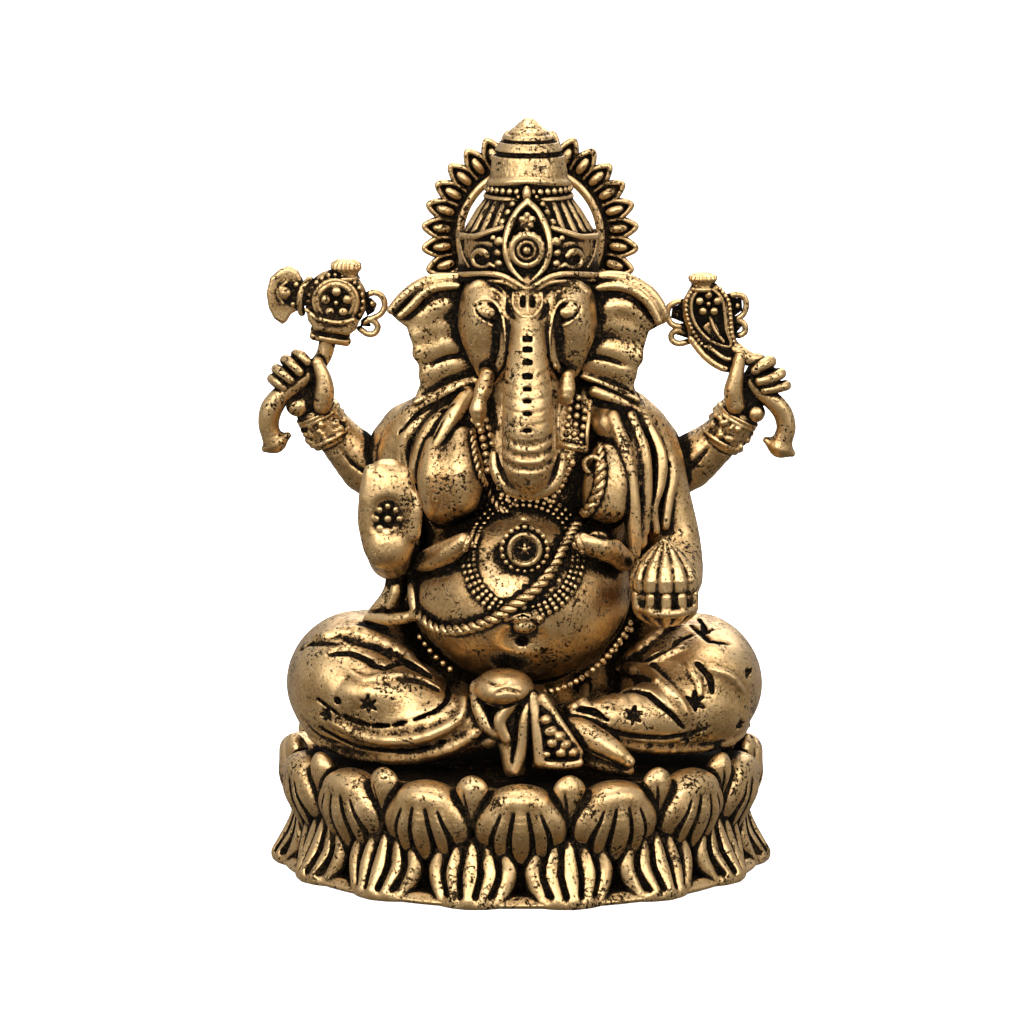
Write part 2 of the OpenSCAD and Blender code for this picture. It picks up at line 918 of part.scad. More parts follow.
module trunk_form() {
    limb(smooth(trunk_balls));
    hull() {
        ball([lean_x - 3.6, -17.4, head_z - 17.4, 1.2, 1.4, 1.6], small_fn);
        ball([lean_x + 3.6, -17.4, head_z - 17.4, 1.2, 1.4, 1.6], small_fn);
    }
}

module trunk() {
    color(bright)
        difference() {
            trunk_form();
            head_form();
            torso_form();
            belly_form();
        }
}

// An ear that fans out from the side of the head, with a rolled upper rim
module ear(side) {
    tip_x = side * (head_w / 2 + ear_w);
    top_z = head_z + 6.2;
    difference() {
        union() {
            hull() {
                ball([lean_x + side * (head_w / 2 - 1.6), -4, top_z - 1, 1.4, ear_t / 2, 1.4]);
                ball([lean_x * 0.5 + side * (head_w / 2 + ear_w * 0.45), -5, top_z - 0.6, 1.4, ear_t / 2, 1.4]);
                ball([tip_x, -6.4, top_z - ear_h * 0.33, 1.1, ear_t / 2, 1.1]);
                ball([side * (head_w / 2 + ear_w * 0.6), -5, top_z - ear_h * 0.62, 1.2, ear_t / 2, 1.2]);
                ball([lean_x + side * (head_w / 2 - 2), -3.4, top_z - ear_h * 0.7, 1.4, ear_t / 2, 1.4]);
            }
            hull() {
                ball([lean_x + side * (head_w / 2 - 2), -3.8, top_z - ear_h * 0.5, 1.4, ear_t / 2, 1.4]);
                ball([side * (head_w / 2 + ear_w * 0.62), -5, top_z - ear_h * 0.58, 1.3, ear_t / 2, 1.3]);
                ball([side * (head_w / 2 + ear_w * 0.56), -4.8, top_z - ear_h + 1.2, 1.2, ear_t / 2, 1.2]);
                ball([side * (head_w / 2 - 1.6), -3.6, top_z - ear_h + 2.2, 1.2, ear_t / 2, 1.2]);
            }
            limb([
                [lean_x + side * (head_w / 2 - 0.6), -5, top_z - 0.2, 1.2, 1.2, 1.2],
                [side * (head_w / 2 + ear_w * 0.4), -6, top_z, 1.3, 1.3, 1.3],
                [side * (head_w / 2 + ear_w * 0.8), -7, top_z - 2.4, 1.2, 1.2, 1.2],
                [tip_x, -7, top_z - ear_h * 0.32, 1, 1.1, 1]
            ]);
        }
        head_form();
        torso_form();
        crown_cut();
    }
}

module right_ear() {
    color(gold) ear(-1);
}

module left_ear() {
    color(gold) ear(1);
}

// Tusk stubs: a long one with its round end on the right, a short one on the left
module tusks() {
    color(bright)
        difference() {
            union() {
                limb(smooth([
                    round_ball(lean_x - 4.6, -12.4, head_z - 6.4, 1),
                    round_ball(lean_x - 5.6, -14.4, head_z - 9, 1.1),
                    round_ball(lean_x - 6, -15, head_z - 11, 1.3)
                ]), small_fn);
                limb(smooth([
                    round_ball(lean_x + 4.6, -12.4, head_z - 6.4, 1),
                    round_ball(lean_x + 5.2, -14, head_z - 8, 1.1),
                    round_ball(lean_x + 5.4, -14.4, head_z - 9, 1.1)
                ]), small_fn);
            }
            head_form();
            trunk_form();
        }
}

// ---- Crown ----

crown_r = crown_d / 2;
cap_r = cap_d / 2;
core_r = crown_r - 1.5;
band_roll = 0.3;

module crown_at(z) {
    translate([lean_x, crown_y, z])
        children();
}

// The space that the band and the core of the crown take up
module crown_cut() {
    crown_at(crown_z) cylinder(h = 30, r = core_r, $fn = 48);
    crown_at(crown_z) cylinder(h = band_h, r = crown_r + band_roll, $fn = 60);
    crown_at(dome_z) cylinder(h = dome_h * 0.5, r = crown_r - 0.4, $fn = 60);
}

// The band round the brow, rolled at both edges and broken by a scroll in relief on each side
module band_form() {
    crown_at(crown_z)
        rotate_extrude($fn = 60)
            polygon([[core_r, 0], [crown_r, 0], [crown_r + band_roll, 0.5], [crown_r, 1], [crown_r - 0.2, 1.2],
                [crown_r - 0.2, band_h - 1], [crown_r, band_h - 0.8], [crown_r + 0.2, band_h - 0.4],
                [crown_r - 0.2, band_h], [core_r, band_h]]);
}

module crown_band() {
    color(gold) band_form();
}

// The dome: a core that fills the band, and a ribbed shoulder over it
module crown_dome() {
    color(dark)
        crown_at(crown_z) {
            cylinder(h = band_h, r = core_r, $fn = 60);
            difference() {
                translate([0, 0, band_h])
                    rotate_extrude($fn = 60)
                        polygon([[0, 0], [crown_r - 0.4, 0], [crown_r - 0.6, dome_h * 0.3], [crown_r - 1.6, dome_h * 0.62],
                            [cap_r + 0.7, dome_h], [0, dome_h]]);
                for (a = [0 : 15 : 345])
                    rotate([0, 0, a])
                        translate([crown_r + 0.1, 0, band_h + 0.5])
                            rotate([0, -32, 0])
                                cylinder(h = dome_h * 1.6, r = 0.5, $fn = 16);
            }
        }
}

crown_bead_d = 1.1;
crown_bead_r = cap_r + 0.25;

// A ring of beads on a thin collar, between the dome and the cap
module crown_beads() {
    color(bright)
        crown_at(cap_z) {
            n = floor(PI * 2 * crown_bead_r / (crown_bead_d * 1.06));
            for (i = [0 : n - 1])
                rotate([0, 0, i * 360 / n])
                    translate([crown_bead_r, 0, crown_bead_d / 2 + 0.02])
                        sphere(d = crown_bead_d, $fn = 20);
        }
}

module crown_cap() {
    color(gold)
        crown_at(cap_z)
            rotate_extrude($fn = 60)
                polygon([[0, 0], [cap_r - 0.35, 0], [cap_r - 0.35, crown_bead_d + 0.1], [cap_r, crown_bead_d + 0.3],
                    [cap_r - 0.1, cap_h * 0.45], [cap_r - 0.5, cap_h * 0.8], [cap_r - 0.7, cap_h], [0, cap_h]]);
}

// The stepped finial: three shrinking steps, a cone and a small ball
module crown_finial() {
    color(bright)
        crown_at(finial_z) {
            rotate_extrude($fn = 48)
                polygon([[0, 0], [cap_r - 0.5, 0], [cap_r - 0.3, finial_h * 0.1], [cap_r - 0.6, finial_h * 0.2],
                    [cap_r - 1.3, finial_h * 0.24], [cap_r - 1.1, finial_h * 0.36], [cap_r - 1.6, finial_h * 0.46],
                    [cap_r - 2.2, finial_h * 0.5], [cap_r - 2, finial_h * 0.6], [cap_r - 3.2, finial_h * 0.74],
                    [0.7, finial_h * 0.84], [0, finial_h * 0.84]]);
            translate([0, 0, finial_h - 0.9])
                sphere(r = 0.9, $fn = 24);
        }
}

// The teardrop crest on the front of the crown, with a rosette on it
crest_r = 3.1;
crest_z = band_h * 0.62;

module crest_form() {
    crown_at(crown_z)
        translate([0, -crown_r + 0.2, 0])
            rotate([90, 0, 0])
                difference() {
                    linear_extrude(1.4)
                        polygon(concat(
                            [for (a = [155 : 10 : 245]) [crest_r * cos(a), crest_z + crest_r * sin(a)]],
                            [[0, crest_z - crest_r - 0.9]],
                            [for (a = [295 : 10 : 385]) [crest_r * cos(a), crest_z + crest_r * sin(a)]],
                            [[0, band_h + dome_h + 0.3]]));
                    translate([0, crest_z, 1])
                        difference() {
                            cylinder(h = 2, r = crest_r * 0.8, $fn = 40);
                            translate([0, 0, -1])
                                cylinder(h = 4, r = crest_r * 0.58, $fn = 32);
                        }
                }
}

module crown_crest() {
    color(bright)
        difference() {
            crest_form();
            band_form();
        }
}

// ---- Halo ----

halo_r = halo_d / 2;
ray_a = 12;

module halo_ring() {
    color(gold)
        translate([lean_x + 0.2, halo_y, halo_z])
            rotate([90, 0, 0])
                rotate_extrude($fn = 72)
                    translate([halo_r, -halo_t / 2])
                        polygon([[0.3, 0], [halo_rim, 0], [halo_rim, halo_t * 0.8], [halo_rim * 0.7, halo_t],
                            [halo_rim * 0.3, halo_t], [0, halo_t * 0.7], [0, halo_t * 0.2]]);
}

// Pointed petal rays round the upper part of the ring
module halo_rays() {
    color(bright)
        translate([lean_x + 0.2, halo_y, halo_z])
            difference() {
                for (i = [0 : ray_count - 1])
                    rotate([0, (i - (ray_count - 1) / 2) * ray_a, 0])
                        translate([0, halo_t / 2, halo_r + halo_rim])
                            rotate([90, 0, 0])
                                linear_extrude(halo_t * 0.8)
                                    polygon([[-0.9, -0.1], [0.9, -0.1], [1.15, ray_l * 0.35], [0.8, ray_l * 0.7],
                                        [0, ray_l], [-0.8, ray_l * 0.7], [-1.15, ray_l * 0.35]]);
                rotate([90, 0, 0])
                    cylinder(h = halo_t * 2, r = halo_r + halo_rim, center = true, $fn = 72);
            }
}

// ---- Ornaments ----

bead_r = bead_d / 2;

// A run of beads along a list of places
module beads(places, r = bead_r) {
    for (p = places)
        translate(p)
            sphere(r = r, $fn = 20);
}

// Short bead strands that hang beside the trunk, three on the left and one on the right
module neck_strands() {
    color(bright) {
        for (k = [0 : 2])
            beads([for (i = [0 : 6]) [lean_x + 4.4 + k * 1.3 + i * 0.06, -13.4 + k * 0.6 - i * 0.2, head_z - 9 - i * 0.97]]);
        beads([for (i = [0 : 4]) [lean_x - 4.6 + i * 0.15, -13.8 - i * 0.1, head_z - 13 - i * 0.97]]);
    }
}

trunk_end_z = trunk_balls[4][2] - trunk_balls[4][5];
medal_z = min(belly_z + 9.2, trunk_end_z - medal_d / 2 - 1);

// The upper necklace, which runs from both sides of the neck down to the medallion
module necklace() {
    steps = 11;
    color(bright)
        for (s = [-1, 1])
            beads([for (i = [0 : steps])
                let (t = i / steps, x = s * (7.8 - 5.2 * t), z = shoulder_z + 2.6 - (shoulder_z - medal_z - 0.4) * t)
                    on_body(x, z, bead_r * 0.7)]);
}

// A round medallion with a raised rim and a five-pointed star
module medallion() {
    color(bright)
        difference() {
            translate([0, body_front(0, medal_z) + 0.6, medal_z])
                rotate([78, 0, 0]) {
                    cylinder(h = 1.2, d = medal_d, $fn = 48);
                    translate([0, 0, 1.2])
                        difference() {
                            cylinder(h = 0.5, d = medal_d * 0.76, $fn = 48);
                            translate([0, 0, -0.5])
                                cylinder(h = 2, d = medal_d * 0.58, $fn = 48);
                        }
                    for (a = [0 : 72 : 288])
                        rotate([0, 0, a + 90])
                            translate([0, -0.25, 0])
                                cube([medal_d * 0.27, 0.5, 1.5]);
                }
            belly_form();
        }
}

garland_z = belly_z + 5.8;
garland_n = 40;
pendant_w = 4.4;

// The garland: a loop of short cross bars, each a pair of beads, that lies on the belly
module garland() {
    color(bright)
        for (i = [0 : garland_n - 1])
            let (a = 360 * (i + 0.5) / garland_n)
                for (k = [0, 1])
                    let (g = k * 1.05 * bead_d,
                        x = (garland_w / 2 - g) * sin(a),
                        z = garland_z + (garland_h / 2 - g) * cos(a))
                        if (abs(x) > pendant_w / 2 + bead_r || z > garland_z)
                            translate(on_body(x, z, bead_r * 0.7))
                                sphere(r = bead_r * (k == 0 ? 1 : 0.86), $fn = 20);
}

// The pendant at the foot of the garland
module pendant() {
    z = garland_z - garland_h / 2;
    color(bright)
        difference() {
            translate([0, body_front(0, z) + 0.5, z])
                rotate([90, 0, 0]) {
                    cylinder(h = 1.8, r = 1.5, $fn = 32);
                    for (s = [-1, 1])
                        translate([s * (pendant_w / 2 - 0.8), 0.2, 0])
                            cylinder(h = 1.5, r = 0.8, $fn = 24);
                }
            belly_form();
        }
}

// The sacred thread, from the left shoulder over the belly to the right hip
thread_path = [[10.2, shoulder_z + 2.4], [10.4, shoulder_z - 5], [9, shoulder_z - 10], [6, belly_z + 5.8],
    [2.4, belly_z + 2.2], [-2, belly_z - 0.6], [-6.4, belly_z - 2.4], [-10.6, belly_z - 3.6], [-13.4, belly_z - 3.2]];

module sacred_thread() {
    points = smooth(thread_path, 3);
    balls = [for (p = points) let (q = on_body(p[0], p[1], thread_d * 0.3)) round_ball(q[0], q[1], q[2], thread_d / 2)];
    color(gold)
        difference() {
            limb(balls, finger_fn);
            belly_form();
            torso_form();
            shawl_form(1);
        }
}

// A chain of beads that hangs from the left hip across the lap
module waist_beads() {
    n = 13;
    color(bright)
        beads([for (i = [0 : n - 1])
            let (t = i / (n - 1), x = 12.8 - 10.6 * t, z = belly_z - 3.6 - 5.2 * t)
                on_body(x, z, bead_r * 0.8)]);
}

foot_slab();
lotus_drum();
lower_petals();
upper_petals();
inner_petals();
seat_plate();
torso();
belly();
right_leg();
left_leg();
front_sash();
right_foot();
left_foot();
front_right_arm();
front_right_hand();
front_left_arm();
front_left_hand();
sweet();
right_shawl();
right_shawl_end();
left_shawl();
rear_right_arm();
rear_right_bracelet();
rear_right_hand();
axe_handle();
axe_boss();
axe_blade();
axe_knob();
axe_scroll();
rear_left_arm();
rear_left_bracelet();
rear_left_hand();
noose_handle();
noose_plate();
noose_knob();
noose_scrolls();
head();
right_ear();
left_ear();
trunk();
tusks();
crown_band();
crown_dome();
crown_beads();
crown_cap();
crown_finial();
crown_crest();
halo_ring();
halo_rays();
neck_strands();
necklace();
medallion();
garland();
pendant();
sacred_thread();
waist_beads();
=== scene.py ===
# %% [markdown]
# # A cast figurine on a lotus seat
# This lesson builds the looks of a small cast figure: a seated, four-armed, elephant-headed deity.
# The real object is brass, cast, gold plated and antiqued, so all of its detail is soft-edged relief.
# Soft relief is hard to model with polygons, and easy to model with clay. So the lesson makes a
# digital clay: a grid of distances that tubes, balls and plates are added to and cut from.
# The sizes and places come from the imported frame, which holds every piece as a plain solid.

# %% Load the frame
import math
import time

import bpy
import numpy as np
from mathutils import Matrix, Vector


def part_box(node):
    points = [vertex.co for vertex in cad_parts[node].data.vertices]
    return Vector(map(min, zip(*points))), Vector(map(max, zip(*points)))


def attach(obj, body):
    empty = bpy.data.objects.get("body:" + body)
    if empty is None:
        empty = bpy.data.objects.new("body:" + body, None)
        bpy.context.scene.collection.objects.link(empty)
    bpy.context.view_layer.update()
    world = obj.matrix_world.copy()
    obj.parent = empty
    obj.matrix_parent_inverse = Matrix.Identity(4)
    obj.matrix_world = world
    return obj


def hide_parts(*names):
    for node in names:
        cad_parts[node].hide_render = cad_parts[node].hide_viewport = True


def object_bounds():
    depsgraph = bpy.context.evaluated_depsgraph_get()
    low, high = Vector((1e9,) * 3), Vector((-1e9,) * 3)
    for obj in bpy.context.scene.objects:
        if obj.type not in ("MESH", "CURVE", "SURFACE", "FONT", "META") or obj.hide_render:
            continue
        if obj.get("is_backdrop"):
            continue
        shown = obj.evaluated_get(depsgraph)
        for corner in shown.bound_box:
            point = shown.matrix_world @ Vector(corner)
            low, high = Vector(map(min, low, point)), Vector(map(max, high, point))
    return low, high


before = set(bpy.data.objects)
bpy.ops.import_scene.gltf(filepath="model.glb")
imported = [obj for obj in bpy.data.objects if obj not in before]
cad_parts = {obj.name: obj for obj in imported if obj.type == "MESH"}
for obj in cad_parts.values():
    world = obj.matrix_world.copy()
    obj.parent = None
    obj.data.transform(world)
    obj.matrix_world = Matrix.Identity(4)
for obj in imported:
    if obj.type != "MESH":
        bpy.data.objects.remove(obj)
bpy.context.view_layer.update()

import openvdb as vdb
from mathutils import Vector

MM = 0.001
started = time.time()

# %% [markdown]
# ## Camera
# A small figure is looked at from about 80 centimetres with a long lens, so that the base and the
# crown keep their proportions. The camera stands in front (-Y) and a little above the figure, and
# its aim is a touch to one side, so that the figure stands slightly off the middle.

# %% Camera
CAMERA_BACK = 0.794
CAMERA_UP = 0.183
AIM = Vector((-0.0017, 0.0, 0.0468))
VIEW_LENS = 212.0

camera_data = bpy.data.cameras.new("camera")
camera_data.lens = VIEW_LENS
camera_data.sensor_width = 36.0
camera_data.clip_start = 0.01
camera_data.clip_end = 50.0
camera = bpy.data.objects.new("camera", camera_data)
camera.location = (0.0, -CAMERA_BACK, CAMERA_UP)
camera.rotation_euler = (AIM - camera.location).to_track_quat("-Z", "Y").to_euler()
bpy.context.scene.collection.objects.link(camera)
bpy.context.scene.camera = camera

# %% [markdown]
# ## Landmarks
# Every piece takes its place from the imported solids. These few heights and places, in millimetres,
# are what the rest is measured from: the seat, the belly, the shoulders, the lean of the crown and
# the middle and radius of the lotus.

# %% Landmarks
def box(node):
    low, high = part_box(node)
    return np.array(low) / MM, np.array(high) / MM


def middle(node):
    low, high = box(node)
    return (low + high) / 2


SEAT = box("seat_plate")[1][2]
BELLY = middle("belly")[2]
SHOULDER = box("torso")[1][2] - 11.0
LEAN = middle("crown_band")[0]
LOTUS_X = middle("lotus_drum")[0]
LOTUS_R = (box("upper_petals")[1][0] - box("upper_petals")[0][0]) / 2 + 0.3
print(f"seat {SEAT:.1f}, belly {BELLY:.1f}, shoulder {SHOULDER:.1f}, lotus radius {LOTUS_R:.1f}")

# %% [markdown]
# ## Digital clay
# A sculptor's clay takes a roll, a ball or a slab, and the join is smoothed with a thumb.
# Here the clay is a grid that holds, at each point, the distance to the surface, negative inside.
# Two forms are joined by the smaller of their distances. A smooth minimum rounds the join over a
# chosen width, just as a thumb does, and the same rule turned round cuts a groove with soft lips.

# %% Smooth joins and smooth curves
FAR = 9.0


def soft_min(a, b, soft):
    if soft <= 0:
        return np.minimum(a, b)
    h = np.maximum(soft - np.abs(a - b), 0) / soft
    return np.minimum(a, b) - h * h * soft * 0.25


def smooth_rows(rows, step=0.5):
    """A smooth curve through rows of numbers, as closely spaced rows. The first three are the place."""
    rows = [np.array(r, float) for r in rows]
    out = []
    for i in range(len(rows) - 1):
        a, b, c, d = rows[max(i - 1, 0)], rows[i], rows[i + 1], rows[min(i + 2, len(rows) - 1)]
        n = max(1, int(np.linalg.norm((c - b)[:3]) / step))
        for k in range(n):
            t = k / n
            out.append(0.5 * (2 * b + (c - a) * t + (2 * a - 5 * b + 4 * c - d) * t ** 2
                              + (3 * b - a - 3 * c + d) * t ** 3))
    out.append(rows[-1])
    return np.array(out)


def outline_distance(px, pz, outline):
    """Distance from points of a plane to a closed outline, negative inside."""
    outline = np.array(outline, float)
    best = np.full(np.broadcast(px, pz).shape, 1e9)
    sign = np.ones(best.shape)
    for i in range(len(outline)):
        ax, az = outline[i]
        bx, bz = outline[i - 1]
        ex, ez = bx - ax, bz - az
        wx, wz = px - ax, pz - az
        t = np.clip((wx * ex + wz * ez) / max(ex * ex + ez * ez, 1e-12), 0, 1)
        best = np.minimum(best, (wx - ex * t) ** 2 + (wz - ez * t) ** 2)
        above, below, left = pz >= az, pz < bz, ex * wz > ez * wx
        flip = (above & below & left) | (~above & ~below & ~left)
        sign = np.where(flip, -sign, sign)
    return sign * np.sqrt(best)


# %% [markdown]
# ## The clay block
# A block is a box of this clay. It can take balls, tubes, flat plates and turned forms, and each of
# them is either joined to it or, with away, taken away. Each call works only in a small window of
# the grid, which keeps a fine grain quick. front() feels for the surface from the front.

# %% The clay block
class Clay:
    def __init__(self, low, high, grain):
        self.grain = grain
        self.low = np.array(low, float) - 3 * grain
        self.count = np.ceil((np.array(high, float) - self.low) / grain).astype(int) + 4
        self.field = np.full(self.count, FAR, np.float32)

    def window(self, low, high):
        a = np.clip(np.floor((np.array(low) - self.low) / self.grain).astype(int), 0, self.count)
        b = np.clip(np.ceil((np.array(high) - self.low) / self.grain).astype(int) + 1, a, self.count)
        axes = [self.low[k] + self.grain * np.arange(a[k], b[k], dtype=np.float32) for k in range(3)]
        x, y, z = axes[0][:, None, None], axes[1][None, :, None], axes[2][None, None, :]
        return tuple(slice(i, j) for i,
                     j in zip(a, b)), x.astype(np.float32), y.astype(np.float32), z.astype(np.float32)

    def join(self, cut, d, soft, away):
        old = self.field[cut]
        self.field[cut] = -soft_min(-old, d, soft) if away else soft_min(old, d, soft)

    def ball(self, centre, radii, soft=0.0, away=False, turn=None):
        """An ellipsoid. turn is a matrix whose columns are its own axes."""
        centre, radii = np.array(centre, float), np.array(radii, float) * np.ones(3)
        reach = (radii.max() if turn is not None else radii) + soft + 2 * self.grain
        cut, x, y, z = self.window(centre - reach, centre + reach)
        p = [x - centre[0], y - centre[1], z - centre[2]]
        if turn is not None:
            p = [p[0] * turn[0][k] + p[1] * turn[1][k] + p[2] * turn[2][k] for k in range(3)]
        k0 = np.sqrt(sum((q / r) ** 2 for q, r in zip(p, radii)))
        k1 = np.sqrt(sum((q / r ** 2) ** 2 for q, r in zip(p, radii))) + 1e-6
        self.join(cut, (k0 * (k0 - 1) / k1).astype(np.float32), soft, away)

    def tube(self, rows, soft=0.0, away=False, step=0.5):
        """A tube along rows of x, y, z, radius, joined to the clay in one go."""
        rows = smooth_rows(rows, step)
        reach = rows[:, 3].max() + soft + 2 * self.grain
        cut, x, y, z = self.window(rows[:, :3].min(0) - reach, rows[:, :3].max(0) + reach)
        d = np.full([s.stop - s.start for s in cut], FAR, np.float32)
        if d.size == 0:
            return
        start = np.array([s.start for s in cut])
        for a, b in zip(rows[:-1], rows[1:]):
            far = max(a[3], b[3]) + soft + 2 * self.grain
            part, px, py, pz = self.window(np.minimum(a, b)[:3] - far, np.maximum(a, b)[:3] + far)
            way = b[:3] - a[:3]
            t = (px - a[0]) * way[0] + (py - a[1]) * way[1] + (pz - a[2]) * way[2]
            t = np.clip(t / max(way @ way, 1e-9), 0, 1).astype(np.float32)
            gap = np.sqrt((px - a[0] - way[0] * t) ** 2 + (py - a[1] - way[1] * t) ** 2
                          + (pz - a[2] - way[2] * t) ** 2) - (a[3] + (b[3] - a[3]) * t)
            here = tuple(slice(s.start - o, s.stop - o) for s, o in zip(part, start))
            d[here] = np.minimum(d[here], gap)
        self.join(cut, d, soft, away)

    def plate(self, outline, y_front, y_back, soft=0.0, away=False, edge=0.0):
        """An outline in X and Z, cut from a slab between two depths, with rounded edges."""
        outline = np.array(outline, float)
        low = [outline[:, 0].min() - soft - 1, y_front - soft - 1, outline[:, 1].min() - soft - 1]
        high = [outline[:, 0].max() + soft + 1, y_back + soft + 1, outline[:, 1].max() + soft + 1]
        cut, x, y, z = self.window(low, high)
        flat = outline_distance(x[:, 0, :], z[0], outline)[:, None, :] + edge
        deep = np.abs(y - (y_front + y_back) / 2) - (y_back - y_front) / 2 + edge
        d = np.sqrt(np.maximum(flat, 0) ** 2 + np.maximum(deep, 0) ** 2) + np.minimum(np.maximum(flat,
                                                                                                 deep),
                                                                                      0) - edge
        self.join(cut, d.astype(np.float32), soft, away)

    def lathe(self, centre, profile, soft=0.0, away=False, ribs=None):
        """A profile of radius and height, turned round an upright axis through the centre."""
        profile = np.array(profile, float)
        r_max = np.abs(profile[:, 0]).max() + soft + 1
        low, high = np.array(centre, float) - r_max, np.array(centre, float) + r_max
        low[2] = centre[2] + profile[:, 1].min() - soft - 1
        high[2] = centre[2] + profile[:, 1].max() + soft + 1
        cut, x, y, z = self.window(low, high)
        x, y, height = x - centre[0], y - centre[1], z - centre[2]
        radius = np.sqrt(x ** 2 + y ** 2)
        if ribs is not None:
            radius = radius + ribs(np.arctan2(y, x), height)
        fine = self.grain * 0.5
        table_r = np.arange(0, r_max + 2, fine)
        table_h = np.arange(profile[:, 1].min() - soft - 2, profile[:, 1].max() + soft + 2, fine)
        table = outline_distance(table_r[:, None], table_h[None, :], profile)
        i = np.clip((radius / fine).astype(int), 0, len(table_r) - 1)
        j = np.clip(((height - table_h[0]) / fine + 0.5).astype(int), 0, len(table_h) - 1)
        i, j = np.broadcast_arrays(i, j)
        self.join(cut, table[i, j].astype(np.float32), soft, away)

    def front(self, x, z):
        """Depth of the first clay met when looking from the front, or None."""
        i = int(round((x - self.low[0]) / self.grain))
        k = int(round((z - self.low[2]) / self.grain))
        if not (0 <= i < self.count[0] and 0 <= k < self.count[2]):
            return None
        column = self.field[i, :, k]
        inside = np.nonzero(column < 0)[0]
        if len(inside) == 0:
            return None
        j = inside[0]
        if j == 0:
            return self.low[1]
        a, b = column[j - 1], column[j]
        return self.low[1] + self.grain * (j - 1 + a / (a - b))


def front_of(clays, x, z, default=0.0):
    depths = [c.front(x, z) for c in clays]
    depths = [d for d in depths if d is not None]
    return min(depths) if depths else default


def drape(clays, path, lift=0.0, step=0.5):
    """A route in X and Z, smoothed and laid on the front of some clays."""
    rows = smooth_rows([(p[0], 0.0, p[1]) for p in path], step)
    last = None
    out = []
    for x, _, z in rows:
        y = front_of(clays, x, z, last)
        if y is None:
            continue
        last = y
        out.append((x, y - lift, z))
    return np.array(out)


def taper(count, ends=0.35):
    return ends + (1 - ends) * np.sin(np.linspace(0, math.pi, count)) ** 0.7


def stroke(clay, path, width, height, soft=0.3, ends=0.35):
    """A ridge (height over 0) or a groove (under 0) drawn on the front of the clay."""
    points = drape([clay], path, 0.0)
    if len(points) < 2:
        return
    size = taper(len(points), ends) * width / 2
    lift = np.sign(height) * (abs(height) - width / 2)
    lift = lift * np.ones(len(points)) * taper(len(points), 0.6)
    rows = np.column_stack([points[:, 0], points[:, 1] - lift, points[:, 2], size])
    clay.tube(rows, soft, away=height < 0, step=0.7)


def hoop(x, y, z, radius, size, count=25):
    """A round wire that faces the front, as rows for a tube."""
    return [(x + radius * math.cos(t), y, z + radius * math.sin(t), size)
            for t in np.linspace(0, 2 * math.pi, count)]


def crown_hoop(radius, z, size):
    """A round wire that lies flat round the crown's axis, as rows for a tube."""
    return [(LEAN + radius * math.sin(t), CROWN_Y - radius * math.cos(t), z, size)
            for t in np.linspace(0, 2 * math.pi, 25)]


def star_points():
    """The directions of a star's points, the first one upright."""
    return [math.radians(90 + 72 * k) for k in range(5)]


# %% [markdown]
# ## From clay to a casting
# A finished clay is turned into a mesh by walking through its grid and placing a face wherever the
# distance changes sign. Flat stretches get large faces and carved stretches small ones.
# Beads and cords are made straight as meshes, because they repeat: one bead is made once and copied.

# %% Meshes from clay, beads and cords
PIECES = []


def mesh_piece(name, points, faces, nodes, slot):
    """Points in millimetres and a list of face arrays become a piece that stands for some nodes."""
    sizes = np.concatenate([np.full(len(f), f.shape[1]) for f in faces])
    corners = np.concatenate([f.ravel() for f in faces]).astype(np.int32)
    mesh = bpy.data.meshes.new(name)
    mesh.vertices.add(len(points))
    mesh.vertices.foreach_set("co", (np.asarray(points, np.float32) * MM).ravel())
    mesh.loops.add(len(corners))
    mesh.loops.foreach_set("vertex_index", corners)
    mesh.polygons.add(len(sizes))
    mesh.polygons.foreach_set("loop_start", np.concatenate([[0], np.cumsum(sizes)[:-1]]).astype(np.int32))
    mesh.update(calc_edges=True)
    mesh.validate()
    mesh.polygons.foreach_set("use_smooth", np.ones(len(mesh.polygons), bool))
    piece = bpy.data.objects.new(name, mesh)
    bpy.context.scene.collection.objects.link(piece)
    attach(piece, "root")
    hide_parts(*nodes)
    PIECES.append((piece, slot))
    print(f"{name}: {len(points)} points, {len(sizes)} faces, {time.time() - started:.0f} s")
    return piece


def clay_shape(clay, detail=0.012):
    grid = vdb.FloatGrid(FAR)
    grid.copyFromArray(clay.field)
    grid.gridClass = vdb.GridClass.LEVEL_SET
    points, tris, quads = grid.convertToPolygons(isovalue=0.0, adaptivity=detail)
    return points * clay.grain + clay.low, [f[:, ::-1] for f in (tris, quads) if len(f)]


def cast(name, clay, nodes, slot="antique_gold", detail=0.012):
    points, faces = clay_shape(clay, detail)
    return mesh_piece(name, points, faces, nodes, slot)


def ball_shape():
    rings, sides = 7, 12
    points = [(0, 0, 1)]
    for i in range(1, rings):
        a = math.pi * i / rings
        points += [(math.sin(a) * math.cos(t), math.sin(a) * math.sin(t), math.cos(a))
                   for t in np.linspace(0, 2 * math.pi, sides, endpoint=False)]
    points.append((0, 0, -1))
    tris = [(0, 1 + k, 1 + (k + 1) % sides) for k in range(sides)]
    last = 1 + (rings - 2) * sides
    tris += [(last + k, len(points) - 1, last + (k + 1) % sides) for k in range(sides)]
    quads = [(1 + r * sides + k, 1 + (r + 1) * sides + k, 1 + (r + 1) * sides + (k + 1) % sides,
              1 + r * sides + (k + 1) % sides) for r in range(rings - 2) for k in range(sides)]
    return np.array(points), [np.array(tris), np.array(quads)]


